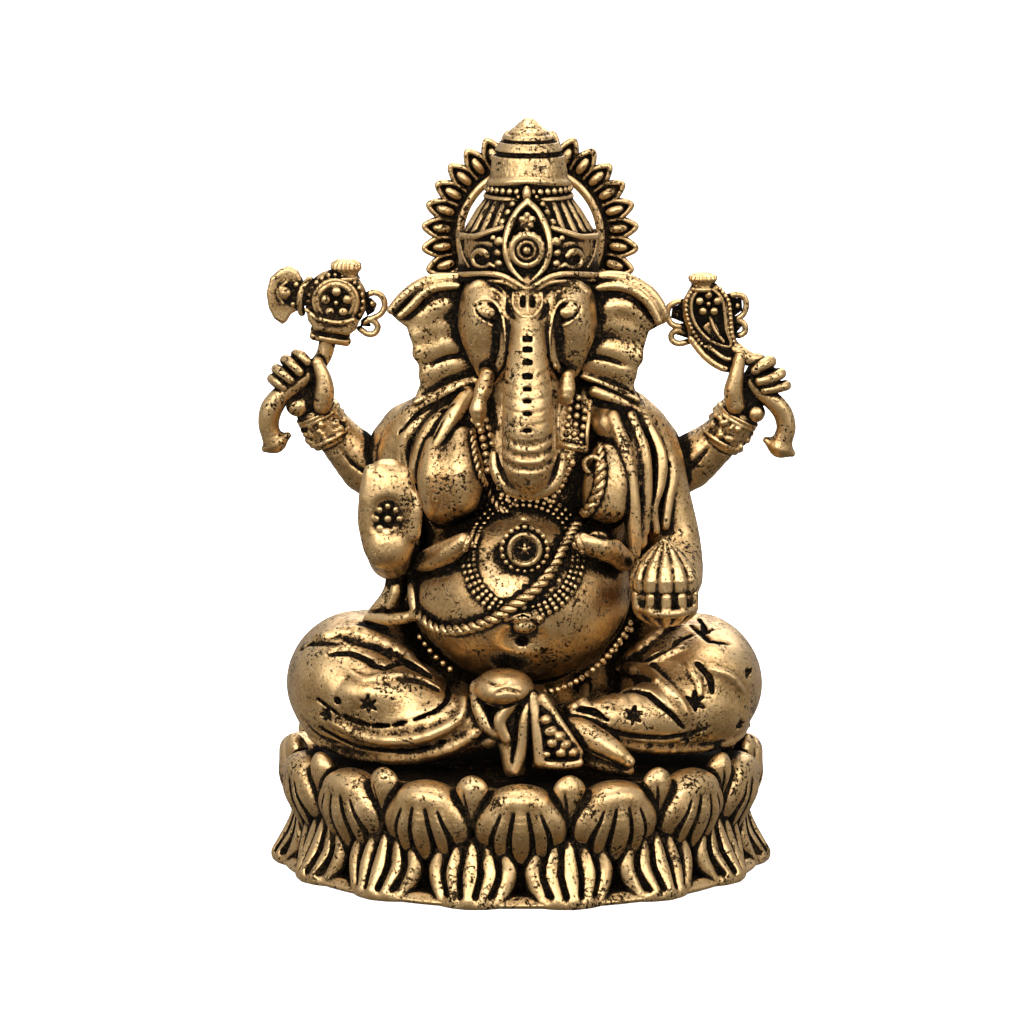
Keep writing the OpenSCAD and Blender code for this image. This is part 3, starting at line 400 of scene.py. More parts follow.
def tube_shape(path, radius, sides=8):
    """A cord along a path of points, closed and rounded at its ends."""
    path = np.array(path, float)
    radius = np.asarray(radius) * np.ones(len(path))
    way = np.gradient(path, axis=0)
    way /= np.linalg.norm(way, axis=1)[:, None] + 1e-9
    side = np.cross(way, [0.13, 1.0, 0.07])
    side /= np.linalg.norm(side, axis=1)[:, None] + 1e-9
    other = np.cross(way, side)
    turns = np.linspace(0, 2 * math.pi, sides, endpoint=False)
    rings = [path[i] + radius[i] * (np.cos(turns)[:, None] * side[i] + np.sin(turns)[:, None] * other[i])
             for i in range(len(path))]
    first = path[0] - way[0] * radius[0] * 0.8
    last = path[-1] + way[-1] * radius[-1] * 0.8
    points = np.vstack([np.concatenate(rings), first, last])
    n = len(path)
    quads = [(i * sides + k, i * sides + (k + 1) % sides, (i + 1) * sides + (k + 1) % sides,
              (i + 1) * sides + k) for i in range(n - 1) for k in range(sides)]
    tris = [(n * sides, (k + 1) % sides, k) for k in range(sides)]
    tris += [(n * sides + 1, (n - 1) * sides + k, (n - 1) * sides + (k + 1) % sides) for k in range(sides)]
    return points, [np.array(tris), np.array(quads)]


def gather(shapes):
    """Many shapes as one list of points and one list of faces."""
    points, tris, quads, start = [], [], [], 0
    for p, faces in shapes:
        points.append(p)
        for f in faces:
            (tris if f.shape[1] == 3 else quads).append(f + start)
        start += len(p)
    return np.vstack(points), [np.vstack(f) for f in (tris, quads) if f]


def beads(places, radius):
    base, faces = ball_shape()
    radii = np.asarray(radius) * np.ones((len(places), 1)) if np.ndim(radius) < 2 else radius
    return [(base * r + np.array(p), faces) for p, r in zip(places, radii)]


def along(points, pitch):
    """Places at an even pitch along a route, with their directions."""
    points = np.array(points, float)
    steps = np.linalg.norm(np.diff(points, axis=0), axis=1)
    run = np.concatenate([[0], np.cumsum(steps)])
    count = max(2, int(round(run[-1] / pitch)) + 1)
    want = np.linspace(0, run[-1], count)
    places = np.column_stack([np.interp(want, run, points[:, k]) for k in range(3)])
    way = np.gradient(places, axis=0)
    return places, way / (np.linalg.norm(way, axis=1)[:, None] + 1e-9)


def rope(points, radius, pitch):
    """A twisted rope: two strands that wind round one route."""
    places, way = along(points, radius * 0.45)
    run = np.arange(len(places)) * radius * 0.45
    side = np.cross(way, [0, 1, 0])
    side /= np.linalg.norm(side, axis=1)[:, None] + 1e-9
    other = np.cross(way, side)
    out = []
    for k in range(2):
        a = run / pitch * 2 * math.pi + k * math.pi
        out.append(tube_shape(places + radius * 0.5
                              * (np.cos(a)[:, None] * side + np.sin(a)[:, None] * other),
                              radius * 0.62, 7))
    return out


# %% [markdown]
# ## Torso and belly
# The body is a seated figure's: a round belly that pushes forward over the lap, two heavy pectorals
# that overhang it, and a soft roll of flesh below each. Balls of clay give the masses, a wide
# blend gives skin over fat, and grooves give the creases where the dark finish will collect.

# %% Torso and belly
body = Clay((-21, -25, 15), (21, 12, 67), 0.2)
body.ball((0.0, 1.0, 26), (17, 12, 11), 0)
body.ball((0.2, -0.6, 48.5), (14.6, 11.2, 12), 5)
body.ball((0.2, 0.2, SHOULDER), (15.5, 7.6, 5.6), 5)
body.tube([(0.2, -1.5, SHOULDER, 7.5), (0.3, -3, 66, 6)], 3, step=1.5)
for side in (-1, 1):
    body.tube([(side * 8, 2, 59, 4.6), (side * 15, 2, 56.8, 4.6), (side * 17, 1.5, 54, 4.2)], 3, step=1.5)
body.tube([(-7.5, -1.0, 63.0, 3.4), (7.5, -1.0, 63.4, 3.6)], 2, step=1.5)
body.ball((0.4, 3.2, 43), (18.6, 6.0, 13), 3)
body.ball((0.2, 1.0, 36), (18.2, 6.0, 7.5), 3)
body.ball((-0.6, -7.6, BELLY - 0.9), (14.6, 15.1, 11.6), 2.5)
body.tube([(-11.4, -9.6, 57.0, 2.0), (-11.3, -10.6, 53.2, 2.9), (-10.8, -11.0, 49.8, 2.7)], 1.5)
body.tube([(-8.4, -10.2, 58.4, 1.8), (-8.2, -11.6, 54.2, 2.9), (-8.3, -12.0, 51.0, 2.5)], 1.5)
body.tube([(12.4, -9.0, 56.2, 1.8), (11.8, -10.2, 52.6, 2.4), (11.3, -10.8, 49.6, 2.4)], 1.5)
body.tube([(10.4, -9.6, 56.0, 1.6), (9.8, -11.4, 52.4, 2.2), (9.6, -11.8, 50.0, 2.0)], 1.5)
body.tube([(-14.4, -11.5, 41.8, 0.9), (-12.6, -15.4, 43.0, 1.5), (-10.4, -17.8, 44.3, 1.7),
           (-8.0, -19.6, 46.3, 1.1)], 0.5)
body.tube([(7.6, -19.6, 46.3, 1.2), (10.2, -17.8, 45.2, 1.9), (12.9, -14.0, 42.8, 1.5)], 0.5)
stroke(body, [(-14.2, 49.6), (-12.6, 47.6), (-11.2, 46.4), (-8.6, 47.5), (-6.0, 48.4), (-4.8, 50.4)], 1.2,
       -1.5, 0.5)
stroke(body, [(14.2, 48.6), (12.4, 46.6), (10.2, 46.8), (8.2, 47.4), (6.8, 49.0)], 1.2, -1.4, 0.5)
stroke(body, [(-14.8, 41.0), (-12.6, 41.4), (-10.0, 42.8), (-7.2, 44.6)], 0.9, -0.7, 0.5)
stroke(body, [(14.6, 41.0), (12.4, 41.2), (10.2, 43.2), (7.4, 44.6)], 0.9, -0.7, 0.5)
navel_y = body.front(-0.3, 33.3)
body.ball((-0.2, navel_y - 0.5, 33.5), (2.9, 1.3, 1.7), 1.2, away=True)
body.ball((-0.3, navel_y + 0.4, 33.3), (0.75, 2.0, 0.65), 0.4, away=True)
for a in star_points():
    body.tube([(-0.3, navel_y + 0.3, 33.3, 0.4),
               (-0.3 + 1.3 * math.cos(a), navel_y + 0.2, 33.3 + 1.0 * math.sin(a), 0.2)],
              0.2, away=True)
cast("torso_and_belly", body, ["torso", "belly"])

# %% [markdown]
# ## Crossed legs
# The legs are wrapped in a cloth that pulls into long folds. On the real piece the folds are thick
# rolls with a dark cut under each. So each leg is a thigh, a knee and a shin laid as tubes, and
# then rolls are laid on the front, with a groove along the lower side of each.

# %% Legs
def star_cut(clay, x, z, size, tilt=0.0):
    y = clay.front(x, z)
    if y is None:
        return
    for k in range(6):
        a = math.radians(60 * k + tilt)
        tip_x, tip_z = x + size * math.cos(a), z + size * math.sin(a)
        tip_y = clay.front(tip_x, tip_z) or y
        clay.tube([(x, y + 0.1, z, 0.5), (tip_x, max(tip_y, y) + 0.05, tip_z, 0.22)], 0.05, away=True,
                  step=0.3)


right_leg = Clay((-33, -27, 13.5), (-2, 14, 36), 0.17)
right_leg.ball((-22.3, -6.4, 24.6), (9.2, 10.6, 8.5), 0)
right_leg.tube([(-22, -3, 25.0, 8.6), (-13, 3, 25.2, 8.6), (-6, 5, 24.8, 8.4)], 3, step=2)
right_leg.tube([(-23, -10.0, 22.6, 6.6), (-16, -15.5, 21.5, 5.4), (-9.5, -18.3, 21.6, 4.3),
                (-4.5, -20, 22.6, 3.2)], 2, step=2)
right_leg.ball((-18.4, -13.4, 25.6), (8.2, 6.8, 4.0), 2.0)
right_leg.ball((-24.0, -9.5, 27.0), (6.2, 7.2, 5.0), 1.5)
for path, width, height in [
    ([(-27.6, 31.6), (-23.2, 32.4), (-19.3, 31.3), (-16.0, 29.7), (-12.2, 27.4)], 2.6, 1.0),
    ([(-25.6, 30.2), (-22.4, 30.2), (-19.0, 28.9), (-15.6, 29.2), (-12.0, 27.6)], 1.0, -1.0),
    ([(-23.4, 28.6), (-21.0, 27.6), (-18.0, 28.1), (-14.6, 27.8), (-11.4, 26.4)], 1.2, 0.45),
    ([(-27.0, 24.6), (-23.8, 22.8), (-20.4, 21.9), (-17.4, 21.9), (-14.4, 22.7), (-11.2, 24.0),
      (-10.0, 25.6), (-10.6, 27.2)], 1.0, -1.3),
    ([(-9.4, 27.8), (-7.9, 25.4), (-8.6, 23.2), (-11.8, 21.2), (-15.6, 20.1), (-20.6, 20.0), (-25.2, 21.4)],
     1.7, 0.8),
    ([(-26.6, 20.6), (-22.0, 18.6), (-17.6, 18.6), (-13.4, 19.1), (-9.8, 20.6), (-6.6, 22.6), (-6.0, 25.0)],
     0.9, -1.2),
    ([(-4.8, 22.6), (-8.4, 19.8), (-12.6, 18.1), (-17.4, 17.1), (-23.0, 17.0), (-28.4, 18.6)], 2.0, 0.8),
    ([(-30.0, 29.6), (-27.8, 31.0), (-24.6, 31.4)], 0.6, -0.5),
    ([(-23.6, 31.8), (-19.6, 30.7), (-16.4, 29.1)], 0.4, -0.35),
    ([(-16.6, 27.9), (-13.6, 27.4), (-11.4, 26.2)], 0.4, -0.2),
    ([(-29.4, 21.4), (-27.4, 19.4), (-24.4, 18.4)], 0.5, -0.4),
]:
    stroke(right_leg, path, width, height, 0.5)
for x, z, size, tilt in [(-20.5, 24.6, 1.15, 30), (-26.0, 22.6, 0.85, 10), (-24.5, 24.7, 0.35, 0)]:
    star_cut(right_leg, x, z, size, tilt)
cast("right_leg_cloth", right_leg, ["right_leg"])

left_leg = Clay((2, -27, 13.5), (33, 14, 37), 0.17)
left_leg.ball((22.2, -6.4, 24.4), (9.2, 10.6, 8.3), 0)
left_leg.tube([(22, -3, 25.0, 8.6), (13, 3, 25.2, 8.6), (6, 5, 24.8, 8.4)], 3, step=2)
left_leg.tube([(24, -10.5, 22.8, 6.0), (17, -16.0, 22.4, 4.6), (11.0, -18.8, 22.6, 3.0),
               (6.6, -20.4, 23.2, 1.5)], 1.5, step=2)
left_leg.ball((25.0, -9.0, 27.2), (5.4, 7.2, 4.8), 1.2)
for path, width, height in [
    ([(11.4, 26.7), (15.0, 29.6), (18.2, 32.2), (20.8, 33.6)], 2.0, 0.9),
    ([(14.2, 27.2), (17.6, 29.6), (20.8, 30.8)], 1.5, 0.6),
    ([(12.6, 26.6), (16.0, 28.9), (19.4, 30.9), (22.0, 32.0)], 0.8, -1.0),
    ([(5.8, 24.4), (9.2, 25.5), (12.2, 27.0), (16.2, 27.6), (19.8, 25.4), (21.4, 22.8)], 1.9, 0.8),
    ([(11.4, 25.8), (15.2, 25.9), (18.6, 23.6), (20.8, 21.4)], 1.0, -1.2),
    ([(6.8, 24.0), (8.8, 23.7), (11.2, 22.7)], 1.3, -1.5),
    ([(5.4, 22.3), (8.0, 20.9), (11.8, 19.7), (17.4, 18.5), (24.6, 17.9), (29.8, 19.3)], 1.8, 0.8),
    ([(9.8, 21.9), (14.0, 20.7), (19.0, 20.2), (24.0, 20.9)], 0.6, -0.6),
    ([(22.0, 33.0), (24.4, 31.6), (27.0, 31.2)], 0.6, -0.6),
    ([(22.6, 29.2), (24.2, 27.6), (24.6, 25.6)], 0.8, -0.8),
    ([(21.4, 29.0), (22.8, 27.0), (23.0, 25.0)], 0.9, 0.5),
    ([(24.0, 28.8), (27.0, 27.6), (28.8, 25.2)], 1.2, 0.5),
    ([(14.0, 32.0), (16.6, 33.2), (18.4, 34.4)], 0.8, -0.8),
]:
    stroke(left_leg, path, width, height, 0.5)
for x, z, size, tilt in [(14.2, 23.4, 1.15, 20), (22.3, 24.5, 1.35, 30), (23.9, 32.4, 1.0, 10),
                         (21.4, 19.9, 1.0, 30),
                         (28.3, 20.8, 0.7, 0), (29.3, 27.5, 0.7, 15)]:
    star_cut(left_leg, x, z, size, tilt)
cast("left_leg_cloth", left_leg, ["left_leg"])

# %% [markdown]
# ## Feet and the gathered cloth between them
# Where the shins meet, a loop of cloth is gathered into a dome and hangs as a stem. Beside it one
# foot shows its toes, and the other foot's tip lies along the shin. They are small enough to be
# sketched with a few rolls each, as the mould maker did.

# %% Feet and sash
sash = Clay((-8, -29.4, 14.4), (3, -15, 31.5), 0.17)
sash.ball((-2.7, -23.5, 27.6), (3.9, 4.2, 2.5), 0)
sash.tube([(-2.0, -22.5, 26.5, 2.6), (-1.9, -23.5, 22, 1.9), (-1.3, -24.5, 17.2, 1.5)], 0.8)
sash.tube([(-6.2, -23.2, 27.6, 1.0), (-6.0, -24.0, 25.2, 0.9), (-5.0, -24.6, 22.9, 0.9),
           (-3.6, -24.8, 21.8, 0.8)], 0.4)
sash.tube([(-1.9, -25.4, 25.6, 0.9), (-3.2, -25.4, 23.6, 0.9), (-2.4, -25.4, 21.3, 0.8)], 0.4)
sash.tube([(0.6, -25.0, 26.8, 0.7), (0.0, -25.6, 23.6, 0.8), (-0.4, -25.6, 19.8, 0.8),
           (-1.2, -25.6, 17.0, 0.8)], 0.3)
sash.tube([(-7.4, -19.5, 20.0, 1.0), (-4.6, -22.5, 20.3, 1.0), (-3.4, -23.8, 21.4, 0.7)], 0.5)
sash.ball((-4.6, -27.0, 24.9), (0.8, 1.8, 1.1), 0.3, away=True)
sash.ball((-5.5, -28.0, 27.0), (0.55, 1.6, 0.6), 0.3, away=True)
stroke(sash, [(-5.9, 26.3), (-3.6, 25.9), (-1.2, 26.3), (0.6, 26.9)], 0.7, -0.8, 0.3)
stroke(sash, [(-1.0, 24.6), (-1.1, 21.8), (-1.6, 18.2)], 0.5, -0.6, 0.3)
stroke(sash, [(-5.4, 29.2), (-3.8, 28.7), (-2.2, 29.0)], 0.4, -0.3, 0.3)
stroke(sash, [(-3.8, 27.6), (-2.4, 28.2), (-0.6, 27.6)], 0.4, -0.3, 0.3)
cast("gathered_cloth", sash, ["front_sash"], detail=0.008)

right_foot = Clay((-1, -29.4, 14.4), (9.4, -15, 28.5), 0.17)
right_foot.plate([(0.9, 27.0), (2.5, 26.8), (7.2, 19.6), (7.5, 17.6), (0.9, 17.2)], -25.6, -17.0, 0.4,
                 edge=0.8)
right_foot.tube([(1.0, -25.4, 26.8, 0.7), (1.6, -26.0, 22.5, 0.8), (2.0, -26.2, 18.4, 0.8)], 0.3)
right_foot.tube([(2.3, -24.6, 26.4, 0.7), (4.6, -25.0, 23.0, 0.65), (7.0, -25.0, 19.3, 0.7)], 0.4)
right_foot.tube([(2.0, -26.0, 18.1, 0.7), (4.8, -26.2, 17.9, 0.7), (7.0, -25.6, 18.1, 0.7)], 0.4)
for x, z, r in [(2.7, 23.9, 0.85), (3.3, 22.4, 1.0), (4.5, 21.7, 0.85), (3.6, 20.9, 1.0), (5.2, 20.6, 0.9),
                (4.7, 19.6, 0.95),
                (6.2, 19.6, 0.8), (2.9, 19.4, 0.7)]:
    right_foot.ball((x, -26.0, z), (r, 1.0, r * 0.85), 0.2)
stroke(right_foot, [(2.1, 25.2), (2.0, 22.0), (2.1, 19.8)], 0.35, -0.8, 0.2)
stroke(right_foot, [(3.4, 18.7), (5.6, 18.6)], 0.3, -0.6, 0.2)
cast("right_foot_toes", right_foot, ["right_foot"], detail=0.008)

left_foot = Clay((3, -29.4, 14.4), (16, -14, 25), 0.17)
left_foot.tube([(4.6, -20.0, 21.8, 1.9), (7.6, -22.4, 21.2, 2.0), (11.0, -24.0, 19.6, 1.6),
                (13.6, -24.6, 18.0, 0.8)], 0)
left_foot.tube([(6.0, -22.4, 22.4, 0.8), (9.0, -24.2, 21.2, 0.8), (12.4, -25.2, 19.0, 0.6)], 0.4)
left_foot.tube([(6.0, -21.0, 18.8, 1.2), (10.0, -22.5, 17.6, 1.3), (13.4, -23.6, 16.6, 0.9)], 0.6)
stroke(left_foot, [(7.2, 20.1), (10.4, 18.7), (13.4, 17.2)], 0.5, -0.6, 0.3)
cast("left_foot_tip", left_foot, ["left_foot"], detail=0.008)

# %% [markdown]
# ## Head and trunk
# The face is long and narrow: a domed brow, almond eyes with double lids, a deep groove from each
# eye down beside the trunk, and cheeks that narrow to a point. The trunk hangs straight to the
# chest, ribbed across, with a row of small sunk marks down its middle and a thick curled lip.

# %% Head and trunk
FACE_X = 0.35
head = Clay((-10.5, -24.8, 50), (11, 7, 87), 0.17)
head.ball((LEAN, -2.8, 76.2), (9.0, 8.4, 9.2), 0)
head.tube([(FACE_X, -2.5, 72, 6.5), (FACE_X, -2.5, 62, 6.0)], 2, step=2)
head.ball((FACE_X, -6.2, 77.0), (7.9, 6.2, 4.0), 2)
for side in (-1, 1):
    x = FACE_X + side * 5.3
    head.ball((x + side * 0.3, -7.8, 74.4), (3.5, 5.2, 5.6), 1.5)
    head.tube([(x - side * 1.2, -10.2, 73.4, 1.5), (x - side * 1.1, -10.6, 70.6, 1.3),
               (x - side * 0.4, -10.0, 68.4, 1.0)], 1.0)
    head.tube([(x + side * 0.2, -9.0, 73, 3.2), (x + side * 0.1, -9.6, 70.0, 2.5),
               (x + side * 0.2, -9.4, 67.4, 1.3)], 1.2)
head.tube([(FACE_X, -9.6, 78.4, 2.8), (FACE_X, -11.6, 75.4, 2.4), (FACE_X, -14.0, 72.4, 2.35),
           (FACE_X, -16.6, 69.6, 2.7), (FACE_X, -18.4, 66.6, 3.05), (FACE_X, -19.2, 63.4, 3.25),
           (FACE_X, -19.6, 59.6, 3.35), (FACE_X + 0.1, -19.6, 56.6, 3.3), (FACE_X + 0.2, -19.2, 55.2, 3.0)],
          1.0)
head.tube([(-4.0, -18.2, 57.4, 0.6), (-3.6, -18.8, 55.4, 0.9), (-2.2, -19.4, 53.6, 1.1),
           (0.6, -19.8, 52.9, 1.15),
           (3.2, -19.4, 53.6, 1.1), (4.4, -18.8, 55.4, 0.9), (4.8, -18.2, 57.2, 0.6)], 0.25)
for side in (-1, 1):
    head.tube([(FACE_X + side * 2.6, -11.2, 76.0, 1.5), (FACE_X + side * 2.4, -12.4, 72.6, 1.3),
               (FACE_X + side * 2.7, -12.8, 70.0, 1.15),
               (FACE_X + side * 3.5, -12.4, 68.0, 0.95), (FACE_X + side * 4.6, -11.6, 66.4, 0.7)], 1.0)
for side in (-1, 1):
    def face(points):
        return [(FACE_X + side * (x - 0.35), z) for x, z in points]
    stroke(head, face([(5.05, 74.4), (4.2, 73.4), (3.95, 71.8), (4.0, 70.2), (4.5, 68.8), (5.5, 67.4)]),
           0.5, -1.0, 0.2, 0.5)
    stroke(head, face([(2.9, 70.6), (3.5, 68.6), (4.6, 66.9), (5.2, 65.2)]), 0.6, -0.7, 0.3, 0.5)
    stroke(head,
           face([(7.3, 76.7), (6.0, 77.25), (4.7, 76.8), (3.9, 75.6), (3.4, 74.0), (3.15, 72.2),
                 (3.3, 70.0), (4.2, 68.0),
                       (5.4, 66.6)]), 0.55, 0.3, 0.2, 0.5)
    stroke(head, face([(8.4, 77.6), (7.2, 78.9), (5.4, 79.2), (3.8, 78.2), (3.0, 76.8)]), 0.8, 0.25, 0.6,
           0.4)
    stroke(head, face([(5.3, 79.0), (4.3, 78.6), (3.5, 77.8)]), 0.35, -0.25, 0.2, 0.4)
    stroke(head, face([(7.3, 76.2), (6.4, 76.5), (5.1, 76.35), (4.2, 75.5), (3.7, 74.5)]), 0.42, -0.5, 0.12,
           0.5)
    stroke(head, face([(7.2, 76.0), (6.5, 75.0), (5.6, 74.5), (4.6, 74.3), (3.8, 74.5)]), 0.36, -0.4, 0.12,
           0.5)
    eye_x, eye_z = face([(5.45, 75.4)])[0]
    eye_y = head.front(eye_x, eye_z)
    head.ball((eye_x, eye_y + 0.25, eye_z), (1.05, 0.62, 0.78), 0.1)
    head.tube(hoop(eye_x, eye_y - 0.32, eye_z, 0.42, 0.12, 13), 0.06, True, 0.2)
    stroke(head, face([(6.8, 74.9), (5.6, 73.9), (4.6, 73.7)]), 0.4, 0.2, 0.15, 0.4)
for z in np.arange(59.0, 70.0, 1.6):
    stroke(head, [(FACE_X - 3.0, z + 0.35), (FACE_X - 1.4, z - 0.05), (FACE_X + 1.4, z - 0.05),
                  (FACE_X + 3.0, z + 0.35)],
           0.5, -0.05, 0.15, 0.5)
for z in (59.7, 58.1, 56.4):
    stroke(head, [(FACE_X - 3.2, z + 0.7), (FACE_X - 1.4, z), (FACE_X + 1.4, z), (FACE_X + 3.2, z + 0.7)],
           0.8, -0.3, 0.5, 0.5)
for k, z in enumerate((72.6, 71.4, 69.9, 68.2, 66.6, 65.1, 63.5, 61.4)):
    y = head.front(FACE_X, z)
    wide, high = (0.62, 0.36) if k < 4 else (0.5, 0.22)
    head.plate([(FACE_X - wide, z - high), (FACE_X - wide, z + high * 0.6), (FACE_X, z + high),
                (FACE_X + wide, z + high * 0.6),
                (FACE_X + wide, z - high)], y - 1.0, y + 0.7, 0.15, away=True)
    stroke(head, [(FACE_X - 0.9, z + 0.3), (FACE_X, z + 0.62), (FACE_X + 0.9, z + 0.3)], 0.34, 0.12, 0.15,
           0.4)
head.ball((FACE_X + 0.1, head.front(FACE_X, 54.6), 54.6), (0.3, 0.3, 0.2), 0.1, away=True)

# %% [markdown]
# ## Forehead mark
# The mark on the brow is a U with a centre stroke. It is drawn as two sunk slots with raised lines
# round them, which is how a mould maker cuts one with a round-ended tool.

# %% Forehead mark
for dx in (-0.62, 0.62):
    head.ball((FACE_X + dx, head.front(FACE_X + dx, 77.0) - 0.05, 77.0), (0.36, 0.7, 0.95), 0.12, away=True)
stroke(head, [(-1.5, 78.1), (-1.55, 76.6), (-0.9, 75.5), (0.35, 75.1), (1.6, 75.5), (2.25, 76.6),
              (2.2, 78.1)], 0.42, 0.3, 0.1, 0.7)
stroke(head, [(0.35, 78.3), (0.35, 77.2), (0.35, 76.0)], 0.5, 0.32, 0.1, 0.5)
stroke(head, [(-2.3, 77.6), (-2.1, 75.6), (-1.0, 74.6)], 0.45, -0.25, 0.2, 0.4)
stroke(head, [(3.0, 77.6), (2.8, 75.6), (1.7, 74.6)], 0.45, -0.25, 0.2, 0.4)
cast("head_and_trunk", head, ["head", "trunk"], detail=0.008)

# %% [markdown]
# ## Tusks
# The tusks are short, broken or sheathed. One shows as a small gourd with a ball below it.

# %% Tusks
tusk = Clay((-9, -18, 59), (9, -8, 69), 0.15)
tusk.tube([(-4.9, -13.6, 67.2, 0.9), (-5.4, -14.6, 65.6, 1.15), (-5.9, -15.0, 64.2, 0.9),
           (-6.1, -15.2, 63.0, 1.15), (-6.0, -15.2, 61.8, 0.8)], 0)
tusk.ball((-6.0, -15.4, 61.0), (0.55, 0.55, 0.45), 0.2)
tusk.tube([(5.6, -13.0, 67.0, 0.8), (5.4, -14.2, 65.4, 1.2), (5.2, -14.4, 64.3, 0.9)], 0)
tusk.tube([(-4.9, -10, 67.6, 1.0), (-4.9, -13.6, 67.2, 0.9)], 0.2)
tusk.tube([(5.7, -10, 67.4, 1.0), (5.6, -13.0, 67.0, 0.8)], 0.2)
cast("tusk_stubs", tusk, ["tusks"], "worn_gold")

# %% [markdown]
# ## Ears
# Each ear is a thin sheet that fans out from the head. Its top edge rolls forward over a dark
# hollow, and folds run across it from the head like the ribs of a fan. The two ears aren't mirror
# images on the real casting, so each has its own outline and its own folds.

# %% Ears
def ear(name, node, edge, rims, folds, hollows):
    low, high = box(node)
    clay = Clay((min(low[0], -19.5) if low[0] < 0 else 5, -9.5, 60),
                (-5 if low[0] < 0 else max(high[0], 20), 2, 82.5), 0.17)
    clay.plate(edge, -6.9, -3.6, 0, edge=0.5)
    for path, y, radius in rims:
        clay.tube([(x, y - 1.1, z, radius * s) for (x, z), s in zip(path, taper(len(path), 0.75))], 0.35)
    for path, width, height in folds:
        stroke(clay, path, width, height * 0.75, 1.2, 0.5)
    for path, width, depth in hollows:
        stroke(clay, path, width, -depth, 0.35, 0.4)
    cast(name, clay, [node], "worn_gold")


ear("right_ear_fan", "right_ear",
    [(-7, 79.6), (-11.5, 79.6), (-15.9, 77.3), (-18.2, 74.9), (-16.9, 73.6), (-15.6, 72.6), (-15.1, 71.4),
     (-14.4, 69.2),
     (-13.7, 67.1), (-13.8, 64.9), (-14.8, 62.3), (-12.4, 62.9), (-9.7, 64.0), (-6.4, 65.6)],
    [([(-8.0, 79.3), (-11.5, 79.1), (-13.7, 78.4), (-15.9, 76.8), (-17.6, 75.0)], -5.9, 0.8),
     ([(-8.6, 78.3), (-11.6, 78.1), (-13.4, 77.2), (-14.9, 75.6), (-16.4, 74.3)], -6.5, 0.65),
     ([(-6.6, 66.0), (-9.7, 64.7), (-12.4, 63.6), (-14.4, 62.7)], -5.8, 0.45)],
    [([(-7.6, 75.2), (-10.4, 75.6), (-13.6, 73.8)], 3.0, 0.7),
     ([(-8.0, 72.6), (-10.6, 72.7), (-14.0, 71.6)], 2.6, 0.5),
     ([(-7.6, 70.4), (-10.6, 70.2), (-14.0, 69.0)], 2.8, 0.7),
     ([(-7.4, 67.9), (-10.2, 67.4), (-13.0, 66.4)], 3.0, 0.5)],
    [([(-7.8, 76.6), (-10.0, 77.1), (-12.2, 76.9), (-13.8, 75.9)], 1.2, 1.7),
     ([(-7.8, 73.9), (-9.2, 73.9), (-10.4, 73.5)], 0.5, 0.8),
     ([(-7.8, 71.7), (-9.6, 71.6), (-11.8, 70.9)], 0.55, 0.9),
     ([(-8.2, 69.0), (-10.2, 68.7), (-12.4, 67.8)], 0.4, 0.3),
     ([(-7.0, 66.6), (-9.7, 65.5), (-12.0, 64.5), (-13.6, 63.5)], 0.7, 1.0)])
ear("left_ear_fan", "left_ear",
    [(8, 79.4), (11.3, 79.9), (13.7, 79.5), (16.4, 78.1), (18.9, 74.3), (18.6, 73.2), (17.2, 72.6),
     (16.4, 72.2), (15.7, 69.8),
     (14.7, 67.1), (14.4, 64.6), (15.2, 62.5), (12.6, 63.6), (10.2, 64.6), (7.4, 65.8)],
    [([(8.4, 79.2), (11.3, 79.5), (13.7, 79.0), (16.2, 77.6), (17.8, 75.6), (18.4, 74.2)], -5.9, 0.8),
     ([(8.8, 77.9), (11.8, 78.3), (14.3, 77.7), (16.4, 75.9), (17.6, 73.6)], -6.5, 0.7),
     ([(7.6, 66.2), (10.5, 65.1), (13.0, 64.0), (14.9, 63.0)], -5.8, 0.45)],
    [([(8.4, 74.3), (11.3, 75.3), (13.8, 75.2), (16.2, 73.4)], 2.2, 0.7),
     ([(8.8, 72.4), (11.4, 73.2), (14.6, 72.2)], 2.4, 0.5),
     ([(8.6, 70.2), (11.9, 69.6), (14.8, 68.4)], 2.6, 0.8),
     ([(8.2, 68.0), (11.2, 67.4), (13.8, 66.6)], 2.6, 0.6)],
    [([(8.8, 76.3), (11.2, 77.0), (13.6, 76.9), (15.4, 75.9), (16.9, 74.1)], 1.5, 1.8),
     ([(9.4, 73.2), (10.6, 73.8), (11.8, 74.3)], 0.45, 0.7),
     ([(8.6, 71.5), (11.2, 71.4), (13.6, 70.8)], 0.9, 1.2),
     ([(8.8, 68.9), (11.0, 68.5), (13.2, 67.7)], 0.4, 0.3),
     ([(7.8, 66.8), (10.5, 65.8), (12.6, 64.8), (14.2, 63.8)], 0.9, 1.2)])

# %% [markdown]
# ## Crown
# The crown is turned work: a stepped cone on a smooth cap, a string of beads, a ribbed dome that
# flares, and a flat band below. Turned shapes come from a profile spun round the crown's axis. The
# dome's ribs come from pushing the radius in and out with the angle.

# %% Crown
CROWN_Y = middle("crown_band")[1]
crown_axis = (LEAN, CROWN_Y, 0.0)
top = box("crown_finial")[1][2]

